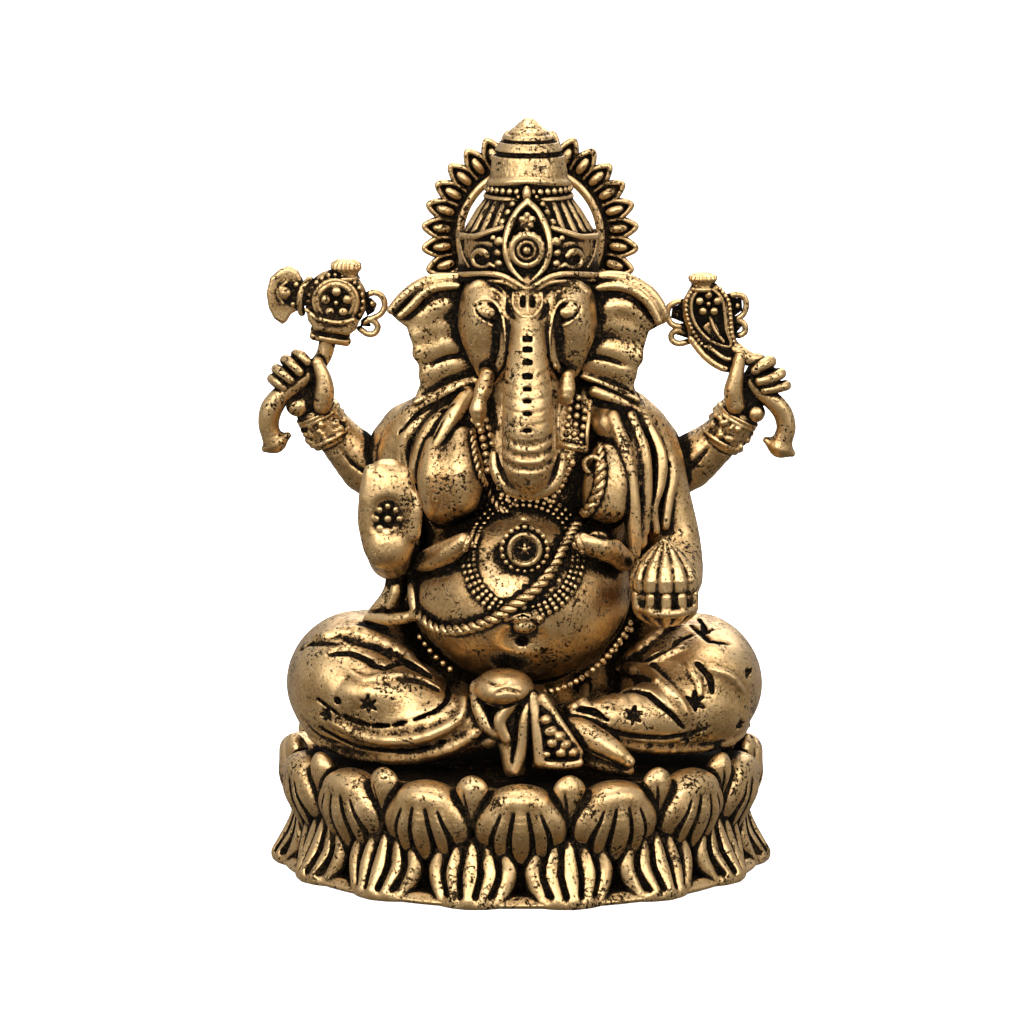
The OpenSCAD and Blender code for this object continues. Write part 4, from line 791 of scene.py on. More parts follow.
upper = Clay((LEAN - 6.5, CROWN_Y - 6.5, 88.5), (LEAN + 6.5, CROWN_Y + 6.5, top + 0.5), 0.13)
upper.lathe(crown_axis, [(0, 89.0), (4.7, 89.0), (5.2, 90.6), (5.15, 92.0), (4.75, 95.0), (4.4, 95.4),
                         (0, 95.4)], 0)
upper.lathe(crown_axis, [(0, 94.8), (4.4, 94.9), (4.5, 95.6), (3.9, 96.7), (3.5, 97.0), (3.3, 97.4),
                         (3.0, 97.8), (2.6, 98.1),
                         (2.0, 98.6), (1.3, 99.2), (0.6, 99.8), (0, top)], 0.12)
for radius, z, size in [(4.6, 95.3, 0.36), (3.65, 96.95, 0.28), (2.95, 97.95, 0.24), (1.95, 98.75, 0.12)]:
    upper.tube(crown_hoop(radius, z, size), 0.1, away=True, step=0.4)
upper.tube([(LEAN + 5.0 * math.sin(t), CROWN_Y - 5.0 * math.cos(t), 91.6 + 0.4 * math.cos(2 * t), 0.6)
            for t in np.linspace(0, 2 * math.pi, 25)], 0.4, step=0.4)
cast("crown_cone_and_cap", upper, ["crown_cap", "crown_finial"], "worn_gold", 0.006)

DOME_RIBS = 26


def dome_rib(angle, height):
    return 0.75 * (0.5 - np.abs(np.cos(angle * DOME_RIBS / 2))) * np.clip((90 - height) * 0.5, 0, 1)


dome = Clay((LEAN - 10, CROWN_Y - 10, 83), (LEAN + 10, CROWN_Y + 10, 90.6), 0.14)
dome.lathe(crown_axis, [(0, 83.5), (8.8, 83.5), (8.2, 85.0), (7.0, 87.0), (5.9, 88.8), (5.4, 89.6),
                        (0, 89.6)], 0, ribs=dome_rib)
dome.lathe(crown_axis, [(0, 89.2), (5.75, 89.2), (6.0, 89.5), (5.75, 89.9), (5.2, 90.1), (0, 90.1)], 0.1)
cast("crown_ribbed_dome", dome, ["crown_dome"], detail=0.006)
ring = [(LEAN + 5.45 * math.cos(t), CROWN_Y + 5.45 * math.sin(t), 90.6)
        for t in np.linspace(0, 2 * math.pi, 34, endpoint=False)]
mesh_piece("crown_bead_ring", *gather(beads(ring, 0.5)), ["crown_beads"], "worn_gold")

# %% [markdown]
# ## Crown band
# The band is a flat ring with scrolls, bosses and a pointed crest in front. Each line is drawn in two
# directions and laid on the round band. Most of it is the same on both sides, so a loop flips it.

# %% Crown band
band = Clay((LEAN - 10.4, CROWN_Y - 11, 77.4), (LEAN + 10.4, CROWN_Y + 10.4, 91.4), 0.13)
band.lathe(crown_axis, [(0, 78.8), (9.1, 78.8), (9.25, 80), (9.25, 84.2), (8.7, 84.8), (0, 84.8)], 0)


def on_band(points, out=0.0):
    """Points in X and Z laid on the band's round front. Above the band they lean in with the dome."""
    rows = []
    for x, z in points:
        radius = 9.25 - max(0.0, z - 84.4) * 0.42 + out
        across = min(abs(x - LEAN) / radius, 0.98)
        rows.append((x, CROWN_Y - radius * math.sqrt(1 - across * across), z))
    return rows


def band_line(points, size, out=0.0):
    band.tube([p + (size,) for p in on_band(points, out)], 0.15, step=0.3)


def arc(x, z, radius, start, sweep, count=10, grow=0.0):
    return [(x + (radius + grow * i / count) * math.cos(math.radians(start + sweep * i / count)),
             z + (radius + grow * i / count) * math.sin(math.radians(start + sweep * i / count)))
            for i in range(count + 1)]


band_edges = [
    ([(-8.6, 79.6), (-6.8, 80.0), (-4.5, 80.3), (-2.8, 80.1), (-1.4, 79.4), (0.35, 78.5), (2.1, 79.4),
      (3.5, 80.1), (5.4, 80.3), (7.6, 80.0), (9.4, 79.6)], 0.42),
    ([(-8.4, 79.0), (-4.5, 79.4), (-2.4, 79.2), (0.35, 77.9), (3.1, 79.2), (5.4, 79.4), (9.2, 79.0)], 0.3),
    ([(-8.5, 84.5), (-6.6, 84.8), (-4.9, 85.5), (-2.8, 86.2)], 0.42),
              ([(3.4, 86.2), (5.5, 85.5), (7.4, 84.8), (9.4, 84.5)], 0.42),
    ([(-8.5, 84.2), (-8.1, 82.2), (-7.2, 80.7)], 0.28), ([(9.4, 84.2), (9.0, 82.2), (8.1, 80.7)], 0.28),
]
for k, (path, size) in enumerate(band_edges):
    band_line(path, size, 1.1 if k < 2 else 0.1)
for radius, z in [(9.3, 79.3), (9.2, 84.4)]:
    band.tube([(LEAN + radius * math.sin(t), CROWN_Y - radius * math.cos(t), z, 0.4)
               for t in np.linspace(1.2, 2 * math.pi - 1.2, 30)], 0.15)
for side in (-1, 1):
    def flip(points):
        return [(LEAN - 0.15 + side * (x - 0.35), z) for x, z in points]
    band_line(flip([(3.0, 80.7), (4.2, 80.9)] + arc(6.3, 82.1, 1.3, 210, 300, 14, -0.35)), 0.42, 0.3)
    place = on_band(flip([(6.2, 82.9)]), 0.1)[0]
    band.ball(place, 0.55, 0.1)
    for x, z, size in [(3.95, 84.5, 0.52), (4.0, 83.1, 0.48), (3.9, 81.7, 0.5), (4.8, 84.9, 0.3)]:
        band.ball(on_band(flip([(x, z)]), 0.2)[0], (size * 1.5, size * 1.3, size * 1.25), 0.1)
    band_line(flip([(0.35, 89.6), (1.7, 88.3), (2.9, 86.0), (3.2, 83.6), (2.6, 81.4), (1.5, 79.9),
                    (0.35, 79.0)]), 0.46, 0.55)
    for x, z, size in [(1.5, 90.0, 0.36), (2.3, 89.1, 0.42), (2.9, 88.1, 0.45), (3.6, 86.9, 0.5)]:
        y = CROWN_Y - 5.6 - max(0.0, 90 - z) * 0.62
        band.ball((LEAN - 0.15 + side * (x - 0.35), y, z), (size, 0.6, size), 0.1)
band.plate([(0.35, 89.2), (1.6, 87.8), (2.7, 85.6), (3.0, 83.4), (2.2, 81.2), (0.35, 79.3), (-1.5, 81.2),
            (-2.3, 83.4), (-2.0, 85.6), (-0.9, 87.8)],
           CROWN_Y - 7.4, CROWN_Y - 5.0, 0.1)
centre = on_band([(0.25, 83.5)], 0.3)[0]
for radius, size in [(1.95, 0.5), (1.1, 0.38)]:
    band.tube(hoop(0.25, centre[1], 83.5, radius, size, 20), 0.1, step=0.3)
for t in np.linspace(0, 2 * math.pi, 16, endpoint=False):
    band.ball((0.25 + 2.25 * math.cos(t), centre[1] + 0.05, 83.5 + 2.25 * math.sin(t)), (0.32, 0.35, 0.32),
              0.12)
band.ball((0.25, centre[1] - 0.15, 83.5), (0.6, 0.6, 0.6), 0.1)
for t in np.linspace(0, 2 * math.pi, 5, endpoint=False):
    band.ball((0.3 + 0.72 * math.sin(t), centre[1] + 1.0, 87.2 + 0.72 * math.cos(t)), (0.5, 0.6, 0.5), 0.15)
band.ball((0.3, centre[1] + 0.75, 87.2), 0.4, 0.08)
band.tube([(0.3, centre[1] + 0.6, 86.3, 0.4), (0.3, centre[1] + 0.4, 85.7, 0.3)], 0.1)
band.ball((0.25, CROWN_Y - 6.0, 90.4), (0.6, 0.7, 1.15), 0.05)
cast("crown_band_and_crest", band, ["crown_band", "crown_crest"], detail=0.006)

# %% [markdown]
# ## Halo
# A flat ring stands behind the crown. Pointed leaves grow out from it, each with a raised kernel.
# One leaf is made in clay and copied round the ring, which stops where the ears begin.

# %% Halo
halo_low, halo_high = box("halo_ring")
halo_mid = middle("halo_ring")
HALO_X = halo_mid[0]
HALO_R = (halo_high[0] - halo_low[0]) / 2 - 0.4
HALO_Z = halo_high[2] - HALO_R - 0.4
rim = Clay((HALO_X - 12, halo_low[1] - 0.8, HALO_Z - 12), (HALO_X + 12, halo_high[1] + 0.8, HALO_Z + 12),
           0.17)
sweep = np.linspace(-2.1, 2.1, 60)
for radius, size, y in [(HALO_R - 1.25, 0.62, halo_low[1] + 0.2), (HALO_R - 0.4, 0.6, halo_mid[1])]:
    rim.tube([(HALO_X + radius * math.sin(t), y, HALO_Z + radius * math.cos(t), size) for t in sweep], 0.15,
             step=0.6)
cast("halo_rim", rim, ["halo_ring"])

leaf = Clay((-1.9, -1.3, -0.8), (1.9, 1.1, 4.5), 0.12)
leaf.plate([(-0.9, -0.6), (-1.35, 0.8), (-1.15, 2.2), (-0.4, 3.4), (0, 3.9), (0.4, 3.4), (1.15, 2.2),
            (1.35, 0.8), (0.9, -0.6)], -0.2, 0.8, 0, edge=0.2)
leaf.tube([(-0.95, -0.35, -0.4, 0.34), (-1.25, -0.45, 0.9, 0.38), (-1.0, -0.45, 2.2, 0.42),
           (0, -0.4, 3.6, 0.42),
           (1.0, -0.45, 2.2, 0.42), (1.25, -0.45, 0.9, 0.38), (0.95, -0.35, -0.4, 0.34)], 0.1, step=0.25)
leaf.ball((0, -0.5, 1.2), (0.72, 0.8, 1.4), 0.1)
leaf_points, leaf_faces = clay_shape(leaf, 0.01)
leaves = []
for k in range(19):
    a = math.radians(-108 + 12 * k)
    radius = HALO_R - 0.1
    turned = np.column_stack([leaf_points[:, 0] * math.cos(a) + leaf_points[:, 2] * math.sin(a),
                              leaf_points[:, 1],
                              leaf_points[:, 2] * math.cos(a) - leaf_points[:, 0] * math.sin(a)])
    leaves.append((turned + [HALO_X + radius * math.sin(a), halo_mid[1], HALO_Z + radius * math.cos(a)],
                   leaf_faces))
mesh_piece("halo_leaves", *gather(leaves), ["halo_rays"], "antique_gold")

# %% [markdown]
# ## Shawl and front arms
# A shawl lies over both shoulders. On one side it crosses the shoulder in slanting bands; on the
# other it hangs down the arm in long folds. The front arms are mostly under it, so arm and shawl
# are modelled close together: one arm is raised with an open palm, the other lies in the lap.

# %% Shawl and arm on the figure's right
shawl = Clay((-20, -16, 40), (-4, 9, 68), 0.18)
shawl.tube([(-6.5, -3.5, 61.5, 4.0), (-11.5, -3.5, 59.2, 4.8), (-15.0, -3.0, 56.4, 4.2),
            (-16.2, -3.0, 52, 3.4), (-16.4, -3.5, 46, 3.0)], 0, step=1.5)
shawl.tube([(-7.0, -7.5, 60.0, 2.2), (-10.5, -8.0, 57.6, 2.6), (-13.6, -7.6, 54.0, 2.2)], 2, step=1.2)
for roll in [[(-6.4, -7.0, 65.6, 1.0), (-9.6, -7.0, 64.4, 1.1), (-12.6, -6.2, 62.6, 1.2),
              (-15.4, -5.0, 60.6, 1.2), (-17.3, -3.8, 58.8, 1.1)],
             [(-7.4, -8.6, 64.2, 0.9), (-9.2, -9.8, 61.6, 1.2), (-11.2, -10.6, 58.0, 1.1),
              (-13.2, -10.4, 54.2, 0.8)],
             [(-9.0, -8.0, 62.6, 0.7), (-12.0, -8.6, 60.0, 1.0), (-13.6, -8.8, 57.2, 0.9),
              (-14.4, -8.8, 54.4, 0.7)],
             [(-12.4, -6.8, 61.4, 0.6), (-15.2, -6.6, 58.6, 0.9), (-16.2, -6.4, 55.6, 0.8),
              (-16.4, -6.6, 52.0, 0.7)]]:
    shawl.tube(roll, 0.6)
for path, width, depth in [([(-9.2, 62.9), (-11.6, 60.9), (-13.4, 58.6)], 0.6, -0.9),
                           ([(-10.6, 60.8), (-12.2, 57.8), (-13.7, 54.6)], 0.5, -0.7),
                           ([(-7.6, 64.8), (-10.4, 63.4), (-14.0, 61.0), (-16.6, 58.4)], 0.6, -0.7),
                           ([(-14.4, 58.6), (-15.2, 56.0), (-15.4, 52.4)], 0.5, -0.7)]:
    stroke(shawl, path, width, depth, 0.3)
cast("right_shoulder_shawl", shawl, ["right_shawl"])

# %% [markdown]
# ## Raised palm
# The open palm faces forward. It is a thick pad with four short fingers and a thumb, and a flower of
# beads is set in a round hollow in its middle. The forearm runs back from it under the shawl.

# %% Raised palm and its arm
palm_x, palm_y, palm_z = -17.8, -19.4, 50.0
palm = Clay((-23, -24.5, 38), (-12.5, 2, 60), 0.15)
palm.ball((palm_x, palm_y, palm_z - 0.6), (4.0, 2.7, 5.9), 0)
palm.ball((palm_x, palm_y - 0.4, palm_z + 2.6), (3.6, 2.4, 4.6), 1.0)
for dx, lift in [(-2.3, 0.0), (-0.85, 0.5), (0.7, 0.4), (2.1, -0.3)]:
    palm.tube([(palm_x + dx * 1.15, palm_y - 0.9, palm_z + 2.2, 1.0),
               (palm_x + dx, palm_y - 0.7, palm_z + 5.6 + lift, 0.85)], 0.5)
palm.tube([(palm_x + 3.2, palm_y - 1.2, palm_z - 2.4, 1.1), (palm_x + 3.5, palm_y - 1.3, palm_z + 0.6, 1.0),
           (palm_x + 3.3, palm_y - 1.2, palm_z + 2.4, 0.8)], 0.4)
palm.ball((palm_x, palm_y - 3.4, palm_z - 0.4), (2.7, 1.7, 3.1), 0.8, away=True)
for k in range(8):
    a = 2 * math.pi * k / 8
    palm.ball((palm_x + 1.5 * math.cos(a), palm_y - 1.9, palm_z - 0.4 + 1.7 * math.sin(a)),
              (0.55, 0.6, 0.6), 0.12)
palm.ball((palm_x, palm_y - 1.9, palm_z - 0.4), (0.62, 0.7, 0.62), 0.1)
palm.tube([(palm_x, palm_y - 0.2, palm_z - 4.6, 2.9), (palm_x + 0.2, -13, 43.4, 3.1),
           (-17.2, -6, 42.4, 3.4), (-16.4, -2.5, 46, 3.3)], 1.5, step=1.5)
cast("open_palm_and_arm", palm, ["front_right_hand", "front_right_arm"], detail=0.008)

# %% [markdown]
# ## End of the shawl
# The shawl comes off the arm and falls on the lap as a short tail with rolled edges.

# %% End of the shawl on the lap
tail = Clay((-22, -16, 29), (-11, 4, 47), 0.18)
tail.tube([(-17.2, -4, 45.6, 1.8), (-16.6, -6.5, 41.0, 1.8), (-17.2, -8.6, 37.4, 1.6),
           (-19.6, -8.4, 34.6, 1.2)], 0, step=1)
tail.tube([(-14.9, -8, 45.2, 0.9), (-14.6, -10.5, 41.0, 1.0), (-14.5, -12.6, 37.4, 0.9),
           (-14.2, -13.4, 35.2, 0.7)], 0.6)
tail.tube([(-20.6, -9.4, 34.0, 0.8), (-17.8, -11.6, 34.4, 0.9), (-15.6, -12.8, 34.9, 0.8),
           (-14.0, -13.4, 35.6, 0.6)], 0.4)
tail.tube([(-16.8, -9.6, 42.0, 0.7), (-16.9, -11.2, 38.6, 0.8), (-17.8, -11.4, 36.2, 0.6)], 0.4)
stroke(tail, [(-15.8, 43.0), (-15.7, 39.8), (-16.1, 36.6)], 0.6, -0.9, 0.3)
cast("shawl_end_on_lap", tail, ["right_shawl_end"])

# %% [markdown]
# ## The long sleeve
# Here the cloth hangs from the shoulder to the hand in long rolls. Sleeve and arm are one block of
# clay, because the real casting shows no gap between them.

# %% Shawl and arm on the figure's left
sleeve = Clay((8, -19, 33), (25.5, 9, 68), 0.18)
sleeve.tube([(8.6, -3.5, 62.0, 3.4), (13.0, -3.2, 59.6, 4.4), (16.4, -3.0, 55.6, 4.2),
             (18.4, -3.2, 49.6, 3.6), (20.0, -4.0, 43.4, 3.4),
             (20.4, -8.0, 39.4, 3.2), (19.4, -13.5, 38.6, 2.8)], 0, step=1.5)
sleeve.tube([(10.8, -7.4, 60.0, 2.0), (13.4, -8.4, 56.0, 2.2), (14.4, -9.2, 50.0, 1.8),
             (14.8, -9.6, 44.6, 1.4)], 1.5, step=1.2)
for roll in [[(9.2, -7.2, 64.2, 0.8), (12.4, -6.6, 62.8, 1.0), (15.6, -5.2, 60.8, 1.1),
              (17.6, -4.0, 57.8, 1.0)],
             [(11.6, -8.6, 61.0, 0.9), (13.2, -10.2, 56.4, 1.1), (14.1, -11.0, 51.0, 1.0),
              (14.5, -11.2, 46.0, 0.95), (14.5, -11.2, 43.2, 0.8)],
             [(14.0, -7.6, 61.0, 0.7), (15.6, -9.0, 56.6, 0.9), (16.1, -9.6, 51.0, 0.8),
              (15.9, -9.8, 46.2, 0.65)],
             [(16.0, -6.4, 60.2, 0.7), (17.9, -7.6, 56.0, 0.9), (17.8, -8.4, 52.2, 0.8),
              (16.9, -9.2, 49.0, 0.7), (17.3, -9.2, 46.0, 0.6)],
             [(17.6, -4.6, 58.6, 0.7), (19.4, -5.6, 53.6, 0.9), (19.0, -6.8, 49.6, 0.7),
              (18.6, -7.4, 46.2, 0.6)]]:
    sleeve.tube(roll, 0.35)
for path, width, depth in [([(12.6, 60.6), (14.4, 56.4), (15.1, 51.0), (15.2, 45.6)], 0.55, -1.1),
                           ([(14.8, 60.4), (16.8, 56.2), (17.0, 52.2), (16.4, 48.0)], 0.5, -0.9),
                           ([(16.8, 59.8), (18.8, 55.2), (18.6, 50.4), (17.9, 46.6)], 0.5, -0.9),
                           ([(10.6, 60.4), (12.0, 56.4), (12.7, 51.6), (13.2, 46.6)], 0.6, -0.9)]:
    stroke(sleeve, path, width, depth, 0.3)
cast("left_shoulder_shawl_and_arm", sleeve, ["left_shawl", "front_left_arm"])

# %% [markdown]
# ## Sweet and hand
# The sweet is a pleated dumpling: a turned form whose radius goes in and out with the angle. The hand
# under it is a shallow cup with five finger rolls.

# %% Sweet held in the hand
sweet_x, sweet_y = 18.3, -18.8
sweet = Clay((12.5, -24.6, 38.2), (24, -13, 47.6), 0.14)


def sweet_rib(angle, height):
    return 0.5 * (0.55 - np.abs(np.cos(angle * 6)))


sweet.lathe((sweet_x, sweet_y, 0),
            [(0, 38.8), (3.4, 38.8), (4.3, 40.2), (4.35, 41.6), (3.5, 43.4), (2.0, 44.9), (0.7, 46.0),
             (0, 46.9)], 0,
            ribs=sweet_rib)
cast("sweet_dumpling", sweet, ["sweet"], "worn_gold", 0.006)
grip = Clay((11.5, -25.4, 34), (25.5, -8, 41.6), 0.14)
grip.lathe((sweet_x, sweet_y, 0),
           [(0, 35.8), (2.2, 35.8), (3.6, 37.4), (4.2, 39.4), (3.6, 40.2), (0, 40.2)], 0)
grip.tube([(19.0, -9.0, 38.2, 2.8), (18.6, -15, 37.6, 2.8)], 1)
for dx, dy in [(-3.3, -1.6), (-1.7, -3.4), (0.1, -4.0), (1.9, -3.4), (3.4, -1.5)]:
    grip.tube([(sweet_x + dx * 0.5, sweet_y + dy * 0.4, 36.0, 0.9),
               (sweet_x + dx * 0.98, sweet_y + dy * 0.95, 37.2, 0.85),
               (sweet_x + dx * 1.08, sweet_y + dy * 1.05, 39.4, 0.72)], 0.15)
grip.tube([(14.8, -20.4, 37.6, 0.6), (17.0, -23.0, 37.4, 0.6), (20.0, -23.0, 37.4, 0.6),
           (22.0, -20.4, 37.6, 0.6)], 0.3)
cast("hand_under_sweet", grip, ["front_left_hand"], detail=0.006)

# %% [markdown]
# ## Raised arms
# The two rear arms leave the shoulders, turn up at the elbow and end in fists at ear height. Each
# wrist has a wide bracelet with raised rims. A fist is a thumb, a heel and rows of finger rolls
# that wrap round the emblem's handle, with dark gaps between them.

# %% Raised arm on the figure's right
reach = Clay((-33, -5, 42), (-8, 10, 63), 0.18)
reach.tube([(-9.5, 4.5, 56.0, 4.6), (-15.5, 3.8, 53.4, 4.3), (-20.0, 3.0, 52.0, 3.9),
            (-23.0, 2.2, 54.6, 3.3), (-25.4, 1.6, 57.4, 2.75),
            (-27.4, 1.0, 60.4, 2.5)], 0, step=1.2)
stroke(reach, [(-24.6, 55.6), (-22.6, 53.2), (-19.6, 51.6)], 0.6, -0.35, 0.4)
cast("raised_right_arm", reach, ["rear_right_arm"])


def cuff(name, node, centre, way, radius, long, seed):
    """A wide bracelet: a hammered band between raised rims."""
    centre, way = np.array(centre), np.array(way, float) / np.linalg.norm(way)
    clay = Clay(centre - 5.4, centre + 5.4, 0.13)
    side = np.cross(way, [0, 1.0, 0])
    side /= np.linalg.norm(side)
    other = np.cross(way, side)
    ends = [centre - way * long / 2, centre + way * long / 2]
    clay.tube([tuple(ends[0]) + (radius,), tuple(ends[1]) + (radius,)], 0)
    for end, keep in zip(ends, (-1, 1)):
        clay.ball(end + way * keep * (radius + 0.3), (radius * 1.5, radius * 1.5, radius * 0.98), 0.1,
                  away=True,
                  turn=np.column_stack([side, other, way]))
    turns = np.linspace(0, 2 * math.pi, 25)
    for place, size in [(-0.5, 0.34), (0.36, 0.3), (0.5, 0.3)]:
        mid = centre + way * long * place
        clay.tube([tuple(mid + radius * (math.cos(t) * side + math.sin(t) * other)) + (size,)
                   for t in turns], 0.1, step=0.35)
    chance = np.random.default_rng(seed)
    for _ in range(46):
        t, place = chance.uniform(0, 2 * math.pi), chance.uniform(-0.36, 0.26)
        spot = centre + way * long * place + radius * (math.cos(t) * side + math.sin(t) * other)
        clay.ball(spot, chance.uniform(0.25, 0.55), 0.25)
    cast(name, clay, [node], "worn_gold", 0.01)


cuff("right_bracelet", "rear_right_bracelet", (-26.8, 1.0, 58.6), (-0.46, -0.08, 0.88), 2.85, 3.6, 11)

# %% [markdown]
# ## Fist and axe handle
# The handle bends through the fist and flares into a hooked tail. Fist and handle are two pieces, so
# that the gaps between the fingers stay open and turn dark.

# %% Fist and axe handle
fist = Clay((-35.8, -6.0, 53.0), (-22.5, 5.6, 71.5), 0.14)
fist.tube([(-27.6, 0.8, 60.4, 2.3), (-28.6, 0.5, 62.4, 2.2)], 0)
fist.tube([(-26.9, -2.0, 61.6, 1.25), (-26.6, -2.2, 63.2, 1.35), (-26.7, -2.4, 65.2, 1.05),
           (-27.5, -2.3, 67.3, 0.8)], 0.5)
for points in [[(-28.8, -2.3, 67.4, 0.62), (-29.6, -2.0, 68.1, 0.72), (-30.4, -0.8, 68.2, 0.7),
                (-30.0, 1.0, 67.4, 0.8)],
               [(-29.9, -2.5, 66.1, 0.66), (-30.9, -2.2, 67.1, 0.78), (-31.8, -0.8, 67.4, 0.76),
                (-30.8, 1.0, 66.2, 0.9)],
               [(-31.1, -2.5, 65.0, 0.62), (-32.2, -2.2, 65.9, 0.76), (-33.0, -0.8, 66.2, 0.72),
                (-31.8, 1.0, 65.0, 0.9)],
               [(-32.0, -2.2, 63.9, 0.62), (-33.0, -2.0, 64.8, 0.72), (-33.6, -0.8, 64.9, 0.7),
                (-32.2, 1.0, 63.6, 0.9)]]:
    fist.tube(points, 0.12)
fist.tube([(-30.4, 1.2, 65.2, 2.0), (-29.4, 1.2, 62.8, 2.3)], 0.8)
fist.ball((-30.1, -0.8, 61.3), (1.7, 1.5, 1.5), 0.5)
cast("right_fist", fist, ["rear_right_hand"], detail=0.006)

handle = Clay((-36, -4.5, 53.2), (-22.5, 4.0, 72.5), 0.14)
handle.tube([(-26.1, -0.6, 70.6, 1.15), (-26.7, -0.6, 68.0, 1.1), (-28.3, -1.0, 66.0, 1.15),
             (-30.4, -1.3, 64.3, 1.2), (-32.4, -1.2, 62.7, 1.35),
             (-33.7, -1.0, 60.9, 1.5), (-34.1, -0.8, 58.9, 1.4), (-33.8, -0.6, 57.4, 1.35),
             (-33.3, -0.4, 56.4, 1.6)], 0)
handle.tube([(-34.6, -0.4, 55.4, 0.5), (-33.4, -0.4, 56.0, 0.9), (-31.6, -0.4, 57.2, 0.5)], 0.5)
cast("axe_handle_tail", handle, ["axe_handle"])

# %% [markdown]
# ## Axe head
# The axe is a round boss with a flower of balls, a cup below it, a scrolled blade to one side, a ribbed
# knob on top and two open loops on the other side.

# %% Axe head
axe = Clay((-35, -4.6, 69), (-17.5, 3.4, 82), 0.12)
boss_x, boss_z = -25.05, 75.4
axe.ball((boss_x, -0.4, boss_z), (4.15, 2.6, 4.15), 0)
axe.ball((boss_x, -3.6, boss_z), (2.9, 1.7, 2.9), 0.15, away=True)
axe.tube(hoop(boss_x, -2.15, boss_z, 2.9, 0.3), 0.08, step=0.35)
for t in np.linspace(0, 2 * math.pi, 24, endpoint=False):
    axe.ball((boss_x + 3.55 * math.cos(t), -1.85, boss_z + 3.55 * math.sin(t)), 0.36, 0.06)
for a in star_points():
    axe.ball((boss_x + 0.1 + 1.5 * math.cos(a), -2.1, boss_z - 0.1 + 1.5 * math.sin(a)), (0.78, 0.7, 0.78),
             0.06)
axe.ball((boss_x + 0.05, -2.2, boss_z - 0.1), (0.42, 0.6, 0.42), 0.04)
axe.plate([(-28.9, 74.3), (-27.7, 73.4), (-26.1, 72.9), (-24.3, 72.7), (-22.6, 73.1), (-21.9, 73.0),
           (-22.3, 71.7), (-23.4, 70.9), (-27.9, 71.6), (-28.8, 73.0)],
          -2.6, 1.6, 0.3, edge=0.5)
axe.tube([(-28.9, -2.1, 74.3, 0.32), (-27.7, -2.5, 73.4, 0.34), (-26.1, -2.7, 72.9, 0.34),
          (-24.3, -2.7, 72.7, 0.34), (-22.6, -2.4, 73.1, 0.34)], 0.1)
for z, size in [(71.1, 0.5), (70.3, 0.62)]:
    axe.tube([(-28.0, -0.6, z + 0.35, size), (-25.8, -1.4, z, size), (-23.7, -0.6, z - 0.45, size)], 0.1)
    axe.tube([(-28.0, 0.2, z + 0.35, size), (-25.8, 0.8, z, size), (-23.7, 0.2, z - 0.45, size)], 0.1)
axe.ball((-25.8, -0.2, 70.7), (2.3, 1.3, 1.0), 0.2)
cast("axe_boss_and_bowl", axe, ["axe_boss"], detail=0.006)

blade = Clay((-35, -3.2, 71), (-26.6, 3.0, 81), 0.12)
blade.plate([(-30.1, 79.4), (-31.2, 80.0), (-32.4, 79.6), (-33.8, 78.4), (-34.3, 76.4), (-34.0, 74.4),
             (-33.3, 73.0), (-32.2, 72.2), (-31.6, 72.6),
             (-31.0, 73.6), (-30.1, 74.1), (-29.0, 75.4), (-29.2, 77.6)], -1.3, 0.5, 0, edge=0.45)
blade.tube([(-28.5, -1.0, 78.2, 0.5), (-29.5, -1.3, 77.0, 0.55), (-29.8, -1.4, 75.4, 0.55),
            (-29.6, -1.0, 73.8, 0.5)], 0.15)
blade.tube([(-27.7, -0.8, 78.0, 0.4), (-28.8, -1.2, 76.8, 0.4), (-29.1, -1.2, 75.2, 0.4)], 0.12)
blade.ball((-31.8, -1.2, 76.5), (0.95, 0.75, 0.95), 0.1)
blade.tube([(-31.6, -1.3, 77.9, 0.26), (-32.8, -1.3, 76.7, 0.26), (-32.1, -1.3, 75.1, 0.26)], 0.08)
for x, z in [(-30.3, 77.6), (-30.7, 75.0)]:
    blade.ball((x, -1.35, z), 0.42, 0.08)
cast("axe_blade_plate", blade, ["axe_blade"], detail=0.006)


KNOB_Y = -0.5


def ribbed_knob(name, node, x, z, radius, high):
    y = KNOB_Y
    clay = Clay((x - radius - 0.8, y - radius - 0.8, z - 1.2),
                (x + radius + 0.8, y + radius + 0.8, z + high + 0.8), 0.11)
    clay.lathe((x, y, z), [(0, -0.8), (radius * 0.72, -0.8), (radius * 0.86, 0.2), (radius, 0.7),
                           (radius * 0.95, high * 0.72),
                           (radius * 0.55, high * 0.97), (0, high)], 0,
               ribs=lambda angle, height: 0.24 * (0.5 - np.abs(np.cos(angle * 9))) * (height > 0.3))
    clay.lathe((x, y, z), [(0, -0.9), (radius * 0.9, -0.9), (radius * 0.95, -0.5), (radius * 0.8, -0.2),
                           (0, -0.2)], 0.1)
    cast(name, clay, [node], "worn_gold", 0.01)


ribbed_knob("axe_top_knob", "axe_knob", -23.7, 79.0, 1.95, 1.95)
loops = Clay((-22.8, -2.4, 69.8), (-17.6, 2.0, 77.6), 0.11)
for route in [[(-21.4, 75.7), (-20.6, 76.3), (-19.6, 76.4), (-18.8, 75.7), (-18.6, 74.6), (-19.1, 73.6),
               (-20.2, 73.0), (-21.4, 72.5)],
              [(-21.9, 71.6), (-20.9, 70.9), (-19.9, 71.0), (-19.5, 71.9), (-20.0, 72.6), (-20.8, 72.9)]]:
    loops.tube([(x, -0.6, z, 0.42) for x, z in route], 0.08, step=0.3)
loops.ball((-20.3, -0.7, 75.0), 0.42, 0.05)
loops.plate([(-21.9, 75.8), (-20.4, 75.6), (-19.6, 74.8), (-20.0, 73.8), (-21.6, 72.8), (-21.9, 71.9),
             (-20.4, 71.8), (-20.9, 73.2)], -0.3, 0.5, 0.05)
cast("axe_side_loops", loops, ["axe_scroll"], detail=0.008)

